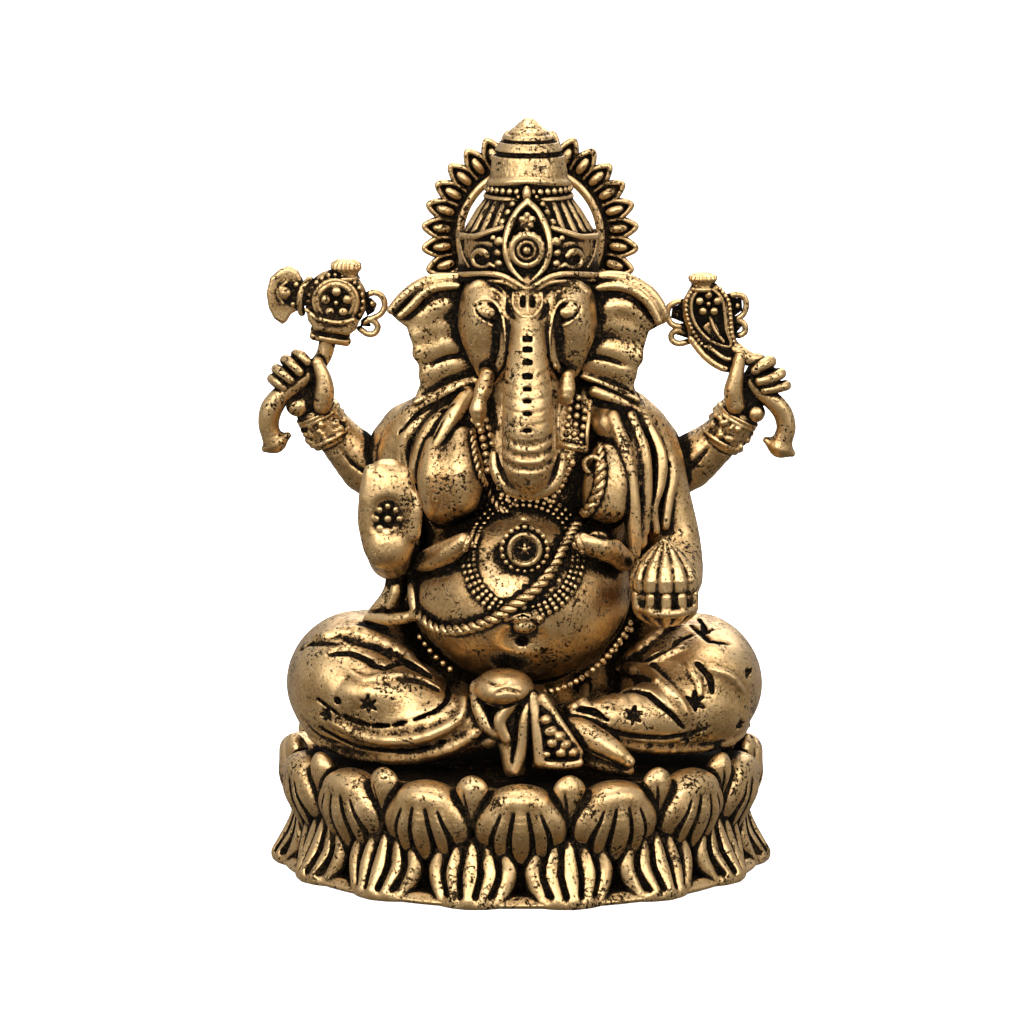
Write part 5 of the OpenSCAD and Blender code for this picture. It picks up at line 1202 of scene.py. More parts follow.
# %% [markdown]
# ## The other raised arm
# The left arm is built the same way, with its own bends and its own grip. The two sides of a hand-cut
# mould are never exact mirror images.

# %% Raised arm on the figure's left
reach = Clay((8, -5, 42), (34, 10, 63), 0.18)
reach.tube([(9.5, 4.5, 56.0, 4.6), (15.8, 3.8, 53.6, 4.3), (20.6, 3.0, 52.6, 3.9), (23.8, 2.2, 54.6, 3.3),
            (26.4, 1.6, 57.0, 2.75),
            (29.2, 1.0, 60.6, 2.4)], 0, step=1.2)
stroke(reach, [(24.4, 55.6), (22.4, 53.4), (19.6, 51.8)], 0.6, -0.35, 0.4)
cast("raised_left_arm", reach, ["rear_left_arm"])
cuff("left_bracelet", "rear_left_bracelet", (27.4, 1.0, 58.2), (0.5, -0.08, 0.86), 2.85, 3.9, 12)

fist = Clay((22.5, -6.0, 53.0), (36.5, 5.6, 71.5), 0.14)
fist.tube([(28.6, 0.8, 60.4, 2.3), (29.6, 0.5, 62.4, 2.2)], 0)
fist.tube([(28.0, -2.0, 61.6, 1.25), (27.7, -2.2, 63.4, 1.3), (28.0, -2.4, 65.4, 1.05),
           (28.5, -2.3, 67.9, 0.85)], 0.5)
for points in [[(30.6, -2.4, 66.3, 0.7), (31.5, -2.3, 67.0, 0.85), (32.6, -1.2, 67.3, 0.85),
                (31.6, 1.0, 66.6, 0.9)],
               [(31.2, -2.5, 64.9, 0.7), (32.6, -2.3, 65.2, 0.8), (34.0, -1.2, 65.7, 0.78),
                (32.6, 1.0, 65.0, 0.9)],
               [(31.8, -2.4, 63.6, 0.55), (33.4, -2.2, 63.9, 0.66), (34.7, -1.2, 64.1, 0.74),
                (33.2, 1.0, 63.4, 0.8)]]:
    fist.tube(points, 0.12)
fist.tube([(31.4, 1.2, 65.2, 2.0), (30.4, 1.2, 62.8, 2.3)], 0.8)
fist.ball((30.7, -0.9, 60.4), (1.3, 1.5, 1.35), 0.5)
cast("left_fist", fist, ["rear_left_hand"], detail=0.006)

handle = Clay((22.5, -4.5, 52.4), (37, 4.0, 72.5), 0.14)
handle.tube([(27.4, -0.6, 69.4, 0.9), (28.6, -1.4, 68.5, 1.0), (29.6, -1.8, 67.8, 1.0),
             (31.2, -1.6, 67.6, 0.8)], 0)
handle.tube([(30.0, -1.2, 64.6, 1.0), (31.4, -1.3, 63.2, 1.1), (33.0, -1.3, 62.0, 1.25),
             (34.3, -1.0, 60.4, 1.3), (34.8, -0.8, 58.4, 1.3),
             (34.4, -0.6, 56.8, 1.35), (34.1, -0.4, 55.9, 1.7)], 0.2)
handle.tube([(32.2, -0.4, 56.6, 0.5), (33.8, -0.4, 55.6, 0.9), (35.6, -0.4, 54.8, 0.5)], 0.5)
cast("noose_handle_tail", handle, ["noose_handle"])

# %% [markdown]
# ## Noose
# The noose is a leaf-shaped plate with a beaded rim, a flower and a curled leaf inside it, a knob on
# top and small scrolls on both sides. The middle is sunk first, and the details stand up in it.

# %% Noose plate
noose = Clay((19.5, -3.6, 64), (30.6, 2.6, 78.9), 0.11)
outer = [(25.4, 77.6), (26.9, 76.1), (27.5, 74.1), (27.8, 71.0), (28.6, 68.9), (29.4, 68.2), (29.2, 66.2),
         (27.3, 65.8), (25.4, 66.7), (23.3, 68.5),
         (21.7, 70.9), (21.0, 73.3), (20.9, 75.2), (21.8, 76.9), (23.4, 78.0)]
inner = [(25.0, 76.9), (26.1, 75.8), (26.5, 74.0), (26.8, 71.5), (27.3, 69.4), (24.9, 70.0), (23.1, 71.6),
         (22.2, 73.4), (22.1, 75.2), (22.6, 76.4), (23.7, 77.2)]
noose.plate(outer, -1.6, 0.6, 0, edge=0.4)
noose.plate(inner, -3.0, -1.0, 0.1, away=True)
closed = inner + inner[:1]
noose.tube([(x, -1.5, z, 0.27) for x, z in closed], 0.08, step=0.3)
edge_path = smooth_rows([(25.9, 0, 77.1), (27.0, 0, 75.4), (27.25, 0, 73.4), (27.5, 0, 71.0),
                         (28.2, 0, 68.9)], 0.1)
for places in (edge_path,
               smooth_rows([(26.0, 0, 68.0), (23.6, 0, 69.6), (22.1, 0, 71.8), (21.4, 0, 74.0),
                            (21.6, 0, 76.0), (22.8, 0, 77.5)], 0.1)):
    for spot in along(places, 0.62)[0]:
        noose.ball((spot[0], -1.65, spot[2]), 0.3, 0.05)
for a in star_points():
    noose.ball((24.35 + 1.22 * math.cos(a), -1.35, 75.1 + 1.2 * math.sin(a)), (0.66, 0.6, 0.66), 0.06)
noose.ball((24.35, -1.5, 75.1), (0.4, 0.5, 0.4), 0.04)
noose.plate([(24.9, 73.2), (26.6, 70.0), (24.9, 70.3), (23.4, 71.9)], -1.5, -0.8, 0.1, edge=0.2)
noose.tube([(24.6, -1.5, 73.2, 0.25), (25.2, -1.6, 71.6, 0.25), (26.4, -1.6, 70.0, 0.22)], 0.08)
noose.tube([(22.0, -1.6, 70.4, 0.45), (24.0, -1.8, 68.0, 0.5), (26.4, -1.9, 66.5, 0.5),
            (28.6, -1.9, 66.6, 0.5)], 0.15)
noose.tube([(24.4, -1.7, 69.4, 0.3), (26.4, -1.9, 67.9, 0.35), (28.6, -1.9, 67.6, 0.4)], 0.12)
cast("noose_leaf_plate", noose, ["noose_plate"], detail=0.006)
ribbed_knob("noose_top_knob", "noose_knob", 23.6, 77.6, 1.85, 1.5)
scrolls = Clay((18.2, -2.4, 68.6), (30.4, 2.0, 77.2), 0.11)
for route in [[(21.1, 75.2), (20.2, 75.2), (19.2, 74.6), (18.9, 73.5), (19.4, 72.3), (20.4, 71.9),
               (21.3, 72.0)],
              [(21.6, 71.0), (20.4, 71.4), (19.5, 70.9), (19.6, 70.0), (20.6, 69.6), (22.0, 70.0)],
              [(27.0, 75.9), (28.0, 76.2), (29.0, 75.9), (29.4, 74.9), (29.1, 73.7), (28.3, 73.0),
               (27.3, 72.8)],
              [(27.4, 72.4), (28.4, 72.7), (29.2, 72.1), (29.2, 71.1), (28.4, 70.7), (27.6, 70.9)]]:
    scrolls.tube([(x, -0.5, z, 0.42) for x, z in route], 0.08, step=0.3)
scrolls.ball((28.2, -0.6, 74.7), 0.4, 0.05)
for outline in ([(21.4, 75.0), (19.6, 74.4), (19.4, 73.0), (21.4, 72.2), (19.9, 70.8), (21.8, 70.2)],
                [(27.0, 75.7), (28.8, 75.6), (28.9, 74.0), (27.4, 72.9), (28.9, 71.9), (28.2, 71.1),
                 (27.6, 71.2)]):
    scrolls.plate(outline, -0.2, 0.5, 0.05)
cast("noose_side_scrolls", scrolls, ["noose_scrolls"], detail=0.008)

# %% [markdown]
# ## Lotus seat
# The seat is a double lotus. The upper petals curl outward, so their ribbed backs are what shows:
# a smooth rounded top, then five ribs that spread downward and end in round lobes. The lower
# petals stand half a step round and flare down onto a scalloped foot. One petal of each kind is
# carved, then copied round with a turn.

# %% Drum, seat and foot
PETALS = 15
STEP = 2 * math.pi / PETALS
drum = Clay((LOTUS_X - 36, -36, -0.2), (LOTUS_X + 36, 36, 15.2), 0.3)
drum.lathe((LOTUS_X, 0, 0), [(0, 1.2), (28.6, 1.2), (28.2, 8), (27.6, 12.2), (26.2, 12.6), (0, 12.6)], 0)
# The drum and the seat take the darkest copy of the gold: heavier black finish plus painted shade for where
# they sit in the shadow of the legs and petals.
cast("lotus_core", drum, ["lotus_drum"], "blackened_gold", 0.02)
plate = Clay((LOTUS_X - 29, -29, 11.6), (LOTUS_X + 29, 29, 15.4), 0.3)
plate.lathe((LOTUS_X, 0, 0), [(0, 12.2), (27.0, 12.2), (27.2, 13.6), (26.4, SEAT), (0, SEAT)], 0)
cast("lotus_seat", plate, ["seat_plate"], "blackened_gold", 0.02)
foot = Clay((LOTUS_X - 36, -36, -0.2), (LOTUS_X + 36, 36, 2.4), 0.25)
foot.lathe((LOTUS_X, 0, 0), [(0, 0), (32.2, 0), (32.6, 0.5), (31.6, 1.5), (0, 1.5)], 0)
for k in range(PETALS):
    a = STEP * (k + 0.5) - math.pi / 2
    foot.ball((LOTUS_X + 29.6 * math.cos(a), 29.6 * math.sin(a), 0.55), (4.0, 4.0, 0.9), 0.5)
foot.lathe((LOTUS_X, 0, 0), [(0, -3), (40, -3), (40, 0), (0, 0)], 0, away=True)
cast("lotus_foot", foot, ["foot_slab"], detail=0.01)


def ring_of(shape, radius, lift, shift, lean=0.0):
    """Copies of one shape round the lotus. The shape faces -Y before it is turned."""
    points, faces = shape
    out = []
    for k in range(PETALS):
        a = STEP * (k + shift)
        y = points[:, 1] * math.cos(lean) - points[:, 2] * math.sin(lean) - radius
        z = points[:, 2] * math.cos(lean) + points[:, 1] * math.sin(lean)
        out.append((np.column_stack([points[:, 0] * math.cos(a) - y * math.sin(a) + LOTUS_X,
                                     points[:, 0] * math.sin(a) + y * math.cos(a), z + lift]), faces))
    return gather(out)


# %% [markdown]
# ## Upper petals
# Each petal is a leaf that leans outward: a domed body, five long ribs, and grooves that start as a
# point near the rim and widen as they go down. One is carved and fifteen are set round the drum.

# %% One upper petal
petal = Clay((-7.2, -4.6, -6.8), (7.2, 5.4, 7.0), 0.15)
petal.ball((0, 1.2, 0.1), (6.0, 3.2, 5.2), 0)
petal.ball((0, -0.3, 3.7), (3.2, 1.5, 1.4), 1.2)
for side in (-1, 1):
    petal.tube([(side * 2.6, -0.4, 3.0, 1.0), (side * 4.5, 0.1, 0.2, 1.3), (side * 4.7, 0.9, -2.4, 1.1)],
               0.8)
    petal.tube([(side * 1.5, -0.6, 3.0, 1.0), (side * 2.6, -0.8, 0.2, 1.5), (side * 2.6, 0.1, -3.6, 1.3)],
               0.8)
petal.tube([(0, -0.7, 3.0, 1.0), (0, -1.1, 0.2, 1.6), (0, 0.0, -4.0, 1.5)], 0.8)


def wedge(clay, path, small, large):
    """A groove that starts as a point and widens, cut deep enough to stay dark."""
    points = drape([clay], path, 0.0)
    size = np.linspace(small, large, len(points))
    for down, share in ((0.0, 1.0), (0.7, 0.85)):
        clay.tube(np.column_stack([points[:, 0], points[:, 1] + down * size / large, points[:, 2],
                                   size * share]), 0.15, away=True)


for x_top, x_mid, x_low, z_top, z_low in [(-2.6, -3.7, -3.8, 2.4, -3.9), (-0.9, -1.5, -1.4, 2.7, -5.0),
                                          (0.9, 1.5, 1.4, 2.7, -5.0), (2.6, 3.7, 3.8, 2.4, -3.9)]:
    wedge(petal, [(x_top, z_top), (x_mid, (z_top + z_low) / 2), (x_low, z_low)], 0.12, 0.55)
petal_shape = clay_shape(petal, 0.008)
mesh_piece("upper_petal_row", *ring_of(petal_shape, LOTUS_R - 3.3, 10.6, 0.0, lean=0.2), ["upper_petals"],
           "antique_gold")

# %% [markdown]
# ## Inner tips
# Between the upper petals, the tips of an inner row look out. Only the tips show, so only they are made.

# %% One inner tip
tip = Clay((-2.9, -2.2, -4.6), (2.9, 2.2, 3.2), 0.16)
tip.ball((0, 0, 0.4), (2.2, 1.3, 2.2), 0)
tip.tube([(0, 0, -3.5, 1.2), (0, -0.1, 0, 1.5), (0, -0.3, 1.9, 0.6)], 0.8)
stroke(tip, [(-0.9, 1.0), (-0.6, -1.0), (-0.4, -2.5)], 0.35, -0.3, 0.2)
mesh_piece("inner_petal_tips", *ring_of(clay_shape(tip, 0.01), LOTUS_R - 3.4, 14.6, 0.5, lean=0.2),
           ["inner_petals"], "antique_gold")

# %% [markdown]
# ## Lower petals
# The lower petals hang down and flare to a scalloped foot. They are staggered by half a step, so that
# each fills the gap between two upper ones.

# %% One lower petal
low_petal = Clay((-7.0, -5.6, -1.0), (7.0, 5.2, 9.6), 0.16)
low_petal.ball((0, 2.0, 3.0), (5.6, 3.4, 6.0), 0)
for x_top, x_mid, x_low, y_low, size in [(-3.9, -4.7, -3.8, -1.2, 1.2), (-2.0, -2.5, -1.9, -2.3, 1.3),
                                         (0, 0, 0, -2.7, 1.4),
                                         (2.0, 2.5, 1.9, -2.3, 1.3), (3.9, 4.7, 3.8, -1.2, 1.2)]:
    low_petal.tube([(x_top, 0.4, 8.0, 0.9), (x_mid, -0.6 + abs(x_mid) * 0.15, 4.4, size),
                    (x_low, y_low, 1.1, size * 0.85)], 0.4)
low_petal.tube([(-5.2, -0.2, 0.6, 0.7), (-2.8, -2.1, 0.55, 0.8), (0, -2.8, 0.5, 0.85),
                (2.8, -2.1, 0.55, 0.8), (5.2, -0.2, 0.6, 0.7)], 0.5)
for x_top, x_mid, x_low in [(-3.0, -3.6, -2.9), (-1.0, -1.25, -0.95), (1.0, 1.25, 0.95), (3.0, 3.6, 2.9)]:
    wedge(low_petal, [(x_top, 7.0), (x_mid, 4.2), (x_low, 1.7)], 0.25, 0.42)
low_petal.lathe((0, 0, 0), [(0, -3), (12, -3), (12, 0.02), (0, 0.02)], 0, away=True)
mesh_piece("lower_petal_row", *ring_of(clay_shape(low_petal, 0.008), LOTUS_R - 3.6, 0.0, 0.5),
           ["lower_petals"], "antique_gold")

# %% [markdown]
# ## Beads, chains and the thread
# Cast jewellery is half sunk into the body, so each string is laid on the clay's front surface and
# pushed out by less than its own radius. Beads are copies of one small ball. The sacred thread is a
# real two-strand rope, because light catches its twist.

# %% Strings of beads
def bead_line(clays, path, pitch, radius):
    places, _ = along(drape(clays, path, 0.1, 0.3), pitch)
    return beads(places, radius)


jewels = []
for x, z_top, z_low in [(6.0, 64.4, 58.3), (7.0, 63.8, 58.1), (8.0, 63.2, 58.0)]:
    places, _ = along([(x, -10.6, z_top), (x - 0.3, -11.8, (z_top + z_low) / 2), (x - 0.7, -12.6, z_low)],
                      1.12)
    jewels += beads(places, 0.52)
places, _ = along([(-6.2, -11.6, 61.6), (-5.6, -12.8, 59.4), (-5.1, -13.6, 57.0), (-4.8, -14.4, 54.8)],
                  1.15)
jewels += beads(places, 0.5)
places, _ = along([(-5.2, -11.6, 61.0), (-4.4, -12.8, 58.6), (-4.0, -13.6, 56.0)], 1.2)
jewels += beads(places, 0.48)
jewels.append(tube_shape([(4.4, -13.4, 58.2), (6.2, -13.9, 57.8), (8.0, -13.2, 57.4)], 0.5))
jewels.append(tube_shape([(4.6, -11.0, 65.2), (4.3, -13.4, 61.0), (4.4, -13.6, 57.6)], 0.3))
jewels.append(tube_shape([(8.6, -10.4, 63.4), (8.2, -12.2, 60.2), (8.0, -12.8, 57.4)], 0.3))
for k in range(6):
    a = math.radians(60 * k)
    jewels += beads([(5.2 + 0.95 * math.cos(a), -14.6, 55.8 + 0.95 * math.sin(a))], 0.5)
jewels += beads([(5.2, -14.9, 55.8)], 0.4)
mesh_piece("neck_bead_strands", *gather(jewels), ["neck_strands"], "worn_gold")

# %% [markdown]
# ## Necklace
# A twisted border runs down from each shoulder, with a small ring at the end of one and short strings
# of beads that meet under the trunk.

# %% Necklace borders
chain = []
left_edge = [(-7.6, 63.0), (-7.0, 59.6), (-6.2, 55.2), (-5.0, 52.0), (-3.6, 49.6), (-2.2, 48.8)]
chain += rope(drape([body], left_edge, 0.25, 0.4), 0.5, 2.0)
chain += rope(drape([body], [(9.9, 62.6), (10.0, 59.0), (10.0, 55.2)], 0.35, 0.4), 0.5, 2.4)
ring_at = drape([body], [(8.9, 55.2), (9.1, 55.1)], 0.5)[0]
chain.append(tube_shape([(ring_at[0] + 1.05 * math.cos(t), ring_at[1] - 0.2, ring_at[2] + 1.05
                          * math.sin(t))
                         for t in np.linspace(0, 2 * math.pi * 0.98, 22)], 0.36))
chain += bead_line([body], [(5.6, 53.6), (4.6, 51.6), (3.2, 50.2)], 0.95, 0.46)
chain += bead_line([body], [(-4.2, 53.6), (-3.0, 51.0), (-1.4, 49.9)], 0.95, 0.46)
mesh_piece("necklace_chains", *gather(chain), ["necklace"], "worn_gold")

# %% [markdown]
# ## Garland
# The garland is a wide loop on the belly, made of short rows of three beads set across it, like the
# rungs of a ladder.

# %% Garland of ladder beads
garland_x, garland_z = -0.2, 43.9
ladder = []
loop = [(garland_x + 7.1 * math.sin(t), garland_z + 6.5 * math.cos(t))
        for t in np.linspace(0, 2 * math.pi, 49)]
places, _ = along(drape([body], loop, 0.0, 0.3), 0.92)
for x, y, z in places[:-1]:
    out = np.array([x - garland_x, (z - garland_z) * 1.1])
    out /= np.linalg.norm(out)
    for reach_out, size in [(-0.66, 0.36), (0.0, 0.4), (0.68, 0.42)]:
        px, pz = x + out[0] * reach_out, z + out[1] * reach_out
        py = front_of([body], px, pz, y)
        ladder += beads([(px, py - 0.12, pz)], size)
mesh_piece("garland_of_beads", *gather(ladder), ["garland"], "worn_gold")

# %% [markdown]
# ## Medallion and pendant
# The medallion is a dish with a beaded rim and a raised five-pointed star. The pendant is a small
# lumpy drop at the foot of the garland.

# %% Medallion and pendant
medal_x, medal_z = 0.0, 45.5
medal_y = min(front_of([body], medal_x, medal_z + dz) for dz in (-3, -1.5, 0, 1.5)) - 0.1
medal = Clay((medal_x - 4.2, medal_y - 1.8, medal_z - 4.2), (medal_x + 4.2, medal_y + 3.6, medal_z + 4.2),
             0.11)
medal.ball((medal_x, medal_y + 1.4, medal_z), (3.2, 1.9, 3.2), 0)
medal.ball((medal_x, medal_y - 0.9, medal_z), (1.9, 1.3, 1.9), 0.1, away=True)
medal.tube(hoop(medal_x, medal_y - 0.2, medal_z, 2.0, 0.33), 0.1, step=0.3)
for t in np.linspace(0, 2 * math.pi, 20, endpoint=False):
    medal.ball((medal_x + 2.9 * math.cos(t), medal_y + 0.25, medal_z + 2.9 * math.sin(t)), 0.42, 0.06)
for a in star_points():
    medal.tube([(medal_x, medal_y + 0.35, medal_z, 0.36),
                (medal_x + 1.45 * math.cos(a), medal_y + 0.45, medal_z + 1.45 * math.sin(a), 0.26)], 0.05,
               step=0.3)
medal.ball((medal_x, medal_y + 0.2, medal_z), (0.42, 0.4, 0.42), 0.05)
medal.ball((medal_x, medal_y + 0.3, medal_z + 3.9), (0.7, 0.6, 0.5), 0.1)
cast("star_medallion", medal, ["medallion"], "worn_gold", 0.006)

drop_x, drop_z = -0.2, 36.6
drop_y = front_of([body], drop_x, drop_z) - 0.2
drop = Clay((drop_x - 3.4, drop_y - 2.6, drop_z - 3.4), (drop_x + 3.4, drop_y + 3.0, drop_z + 3.0), 0.12)
drop.ball((drop_x, drop_y + 0.6, drop_z + 0.3), (2.4, 1.6, 1.0), 0)
drop.ball((drop_x + 0.2, drop_y + 0.6, drop_z - 0.9), (1.6, 1.5, 1.1), 0.3)
for dx, dz in [(-2.2, 0.2), (-1.6, 0.9), (0.0, 1.6), (1.5, 0.8), (2.1, 0.0)]:
    drop.ball((drop_x + dx, drop_y - 0.1, drop_z + dz), 0.55, 0.15)
stroke(drop, [(-1.6 + drop_x, drop_z - 0.1), (drop_x, drop_z + 0.5), (drop_x + 1.5, drop_z - 0.2)], 0.5,
       -0.6, 0.2)
cast("garland_pendant", drop, ["pendant"], "worn_gold", 0.006)

# %% [markdown]
# ## Sacred thread and waist beads
# The thread crosses the belly from one shoulder to the other hip. It lies on the body all the way, so
# its route is draped on the clay. The waist beads follow the fold between belly and legs.

# %% Sacred thread and waist beads
thread_route = drape([body], [(10.0, 55.4), (9.6, 52.0), (7.8, 48.7), (5.3, 45.3), (3.4, 42.6), (1.3, 40.4),
                              (-1.7, 38.2), (-5.0, 36.1),
                              (-8.6, 34.7), (-11.6, 34.4), (-13.8, 35.6)], 0.75, 0.4)
mesh_piece("sacred_thread_rope", *gather(rope(thread_route, 0.72, 2.6)), ["sacred_thread"], "worn_gold")
girdle = []
route = smooth_rows([(1.6, -20.6, 26.3), (4.4, -19.6, 26.6), (7.6, -17.6, 27.8), (10.4, -15.6, 29.8),
                     (12.4, -13.6, 31.9), (13.9, -12.0, 34.0)], 0.3)
girdle += beads(along(route, 0.95)[0], 0.42)
route = smooth_rows([(10.4, -14.6, 29.2), (12.2, -13.2, 31.0), (14.0, -11.6, 33.0)], 0.3)
girdle += beads(along(route, 1.1)[0], 0.38)
route = smooth_rows([(-9.8, -16.0, 28.6), (-12.0, -14.4, 30.2), (-13.8, -12.4, 32.2)], 0.3)
girdle += beads(along(route, 1.2)[0], 0.4)
mesh_piece("waist_bead_string", *gather(girdle), ["waist_beads"], "worn_gold")

# %% [markdown]
# ## Where the black finish stays, and where shade is painted
# The maker dips the gilded casting in a black finish and then rubs it back. The black stays where a
# cloth can't reach. That is a measure of how enclosed a place is, so it can be worked out: fill a
# grid with the metal, blur it, and read it just outside each point of the surface. Over a flat
# face the blurred metal has a known value; in a groove there is more, and on a ridge there is less.
# Two widths of blur catch both the fine grooves and the wide hollows. The material also uses this
# measure for painted shade: wide hollows and gaps between pieces get a darker colour where light
# would be blocked, on top of the real black finish.

# %% Measure the hollows
GRAIN = 0.32


def piece_points(piece):
    points = np.empty(len(piece.data.vertices) * 3, np.float32)
    piece.data.vertices.foreach_get("co", points)
    return points.reshape(-1, 3) / MM


def piece_faces(piece):
    mesh = piece.data
    sizes = np.empty(len(mesh.polygons), np.int32)
    mesh.polygons.foreach_get("loop_total", sizes)
    corners = np.empty(len(mesh.loops), np.int32)
    mesh.loops.foreach_get("vertex_index", corners)
    starts = np.concatenate([[0], np.cumsum(sizes)[:-1]])
    return [corners[starts[sizes == n][:, None] + np.arange(n)] for n in (3, 4)]


all_points = [piece_points(p) for p, _ in PIECES]
grid_low = np.min([p.min(0) for p in all_points], axis=0) - 5
grid_high = np.max([p.max(0) for p in all_points], axis=0) + 5
metal = np.zeros(np.ceil((grid_high - grid_low) / GRAIN).astype(int), np.float32)
for (piece, _), points in zip(PIECES, all_points):
    tris, quads = piece_faces(piece)
    shift = points - grid_low
    level = vdb.FloatGrid.createLevelSetFromPolygons(np.ascontiguousarray(shift, np.float32),
                                                     tris.astype(np.uint32), quads.astype(np.uint32),
                                                     transform=vdb.createLinearTransform(GRAIN),
                                                     halfWidth=2.0)
    start, stop = (np.array(v) for v in level.evalActiveVoxelBoundingBox())
    block = np.empty(stop - start + 1, np.float32)
    level.copyToArray(block, ijk=tuple(int(v) for v in start))
    start_in, stop_in = np.maximum(start, 0), np.minimum(stop + 1, metal.shape)
    inner_block = block[tuple(slice(a - s, b - s) for a, b, s in zip(start_in, stop_in, start))]
    view = metal[tuple(slice(a, b) for a, b in zip(start_in, stop_in))]
    np.maximum(view, np.clip(0.5 - inner_block / GRAIN, 0, 1), out=view)
print(f"metal grid {metal.shape}, filled {metal.mean():.3f}, {time.time() - started:.0f} s")


def blur(grid, sigma):
    """A Gaussian blur, close enough, as three box blurs along each axis."""
    width = max(1, int(round(sigma / GRAIN)))
    size = 2 * width + 1
    for _ in range(3):
        for axis in range(3):
            padded = np.concatenate([np.repeat(grid.take([0], axis), width + 1, axis), grid,
                                     np.repeat(grid.take([-1], axis), width, axis)], axis)
            total = np.cumsum(padded, axis, dtype=np.float32)
            n = grid.shape[axis]
            grid = (total.take(range(size, size + n), axis) - total.take(range(0, n), axis)) / size
    return grid


def read(grid, points):
    place = np.clip((points - grid_low) / GRAIN, 0, np.array(grid.shape) - 1.001)
    i = place.astype(int)
    f = place - i
    out = 0
    for dx in (0, 1):
        for dy in (0, 1):
            for dz in (0, 1):
                weight = (np.abs(1 - dx - f[:, 0]) * np.abs(1 - dy - f[:, 1]) * np.abs(1 - dz - f[:, 2]))
                out = out + weight * grid[i[:, 0] + dx, i[:, 1] + dy, i[:, 2] + dz]
    return out


FINE_BLUR, WIDE_BLUR = 0.35, 1.2
FINE_OUT, WIDE_OUT = 0.45, 1.3
fine, wide = blur(metal, FINE_BLUR), blur(metal, WIDE_BLUR)
print(f"blurred, {time.time() - started:.0f} s")
for (piece, _), points in zip(PIECES, all_points):
    normals = np.empty(points.size, np.float32)
    piece.data.vertices.foreach_get("normal", normals)
    normals = normals.reshape(-1, 3)
    hollow = read(fine, points + normals * FINE_OUT)
    deep = read(wide, points + normals * WIDE_OUT)
    # The two measures go into a colour attribute that drives both the real black finish and the painted
    # shade.
    colour = np.column_stack([hollow, deep, np.zeros(len(points)), np.ones(len(points))]).astype(np.float32)
    layer = piece.data.color_attributes.new("hollow_black_and_shade", "FLOAT_COLOR", "POINT")
    layer.data.foreach_set("color", np.clip(colour, 0, 1).ravel())
print(f"hollows measured, {time.time() - started:.0f} s")

# %% [markdown]
# ## Antiqued gold
# The finish is three things: bright plated gold on the high places, a brown film on the middle
# ground, and a dry black in the recesses. The measure of each hollow picks between them, broken up
# by noise so that no border is clean. The black and the brown are partly the real antiquing and
# partly painted shade, darker where the hollow measure says light is blocked. Pits and fine
# scratches come from noise too, as bump.

# %% The finish
# The brown film and the black carry painted shade as well as the real antiquing colour.
BROWN_FILM_AND_SHADE = (0.40, 0.23, 0.09)
BLACK_FINISH_AND_SHADE = (0.004, 0.003, 0.002)
BLACK_AND_SHADE_FLECK = (0.07, 0.04, 0.017)
PIT = (0.03, 0.018, 0.008)


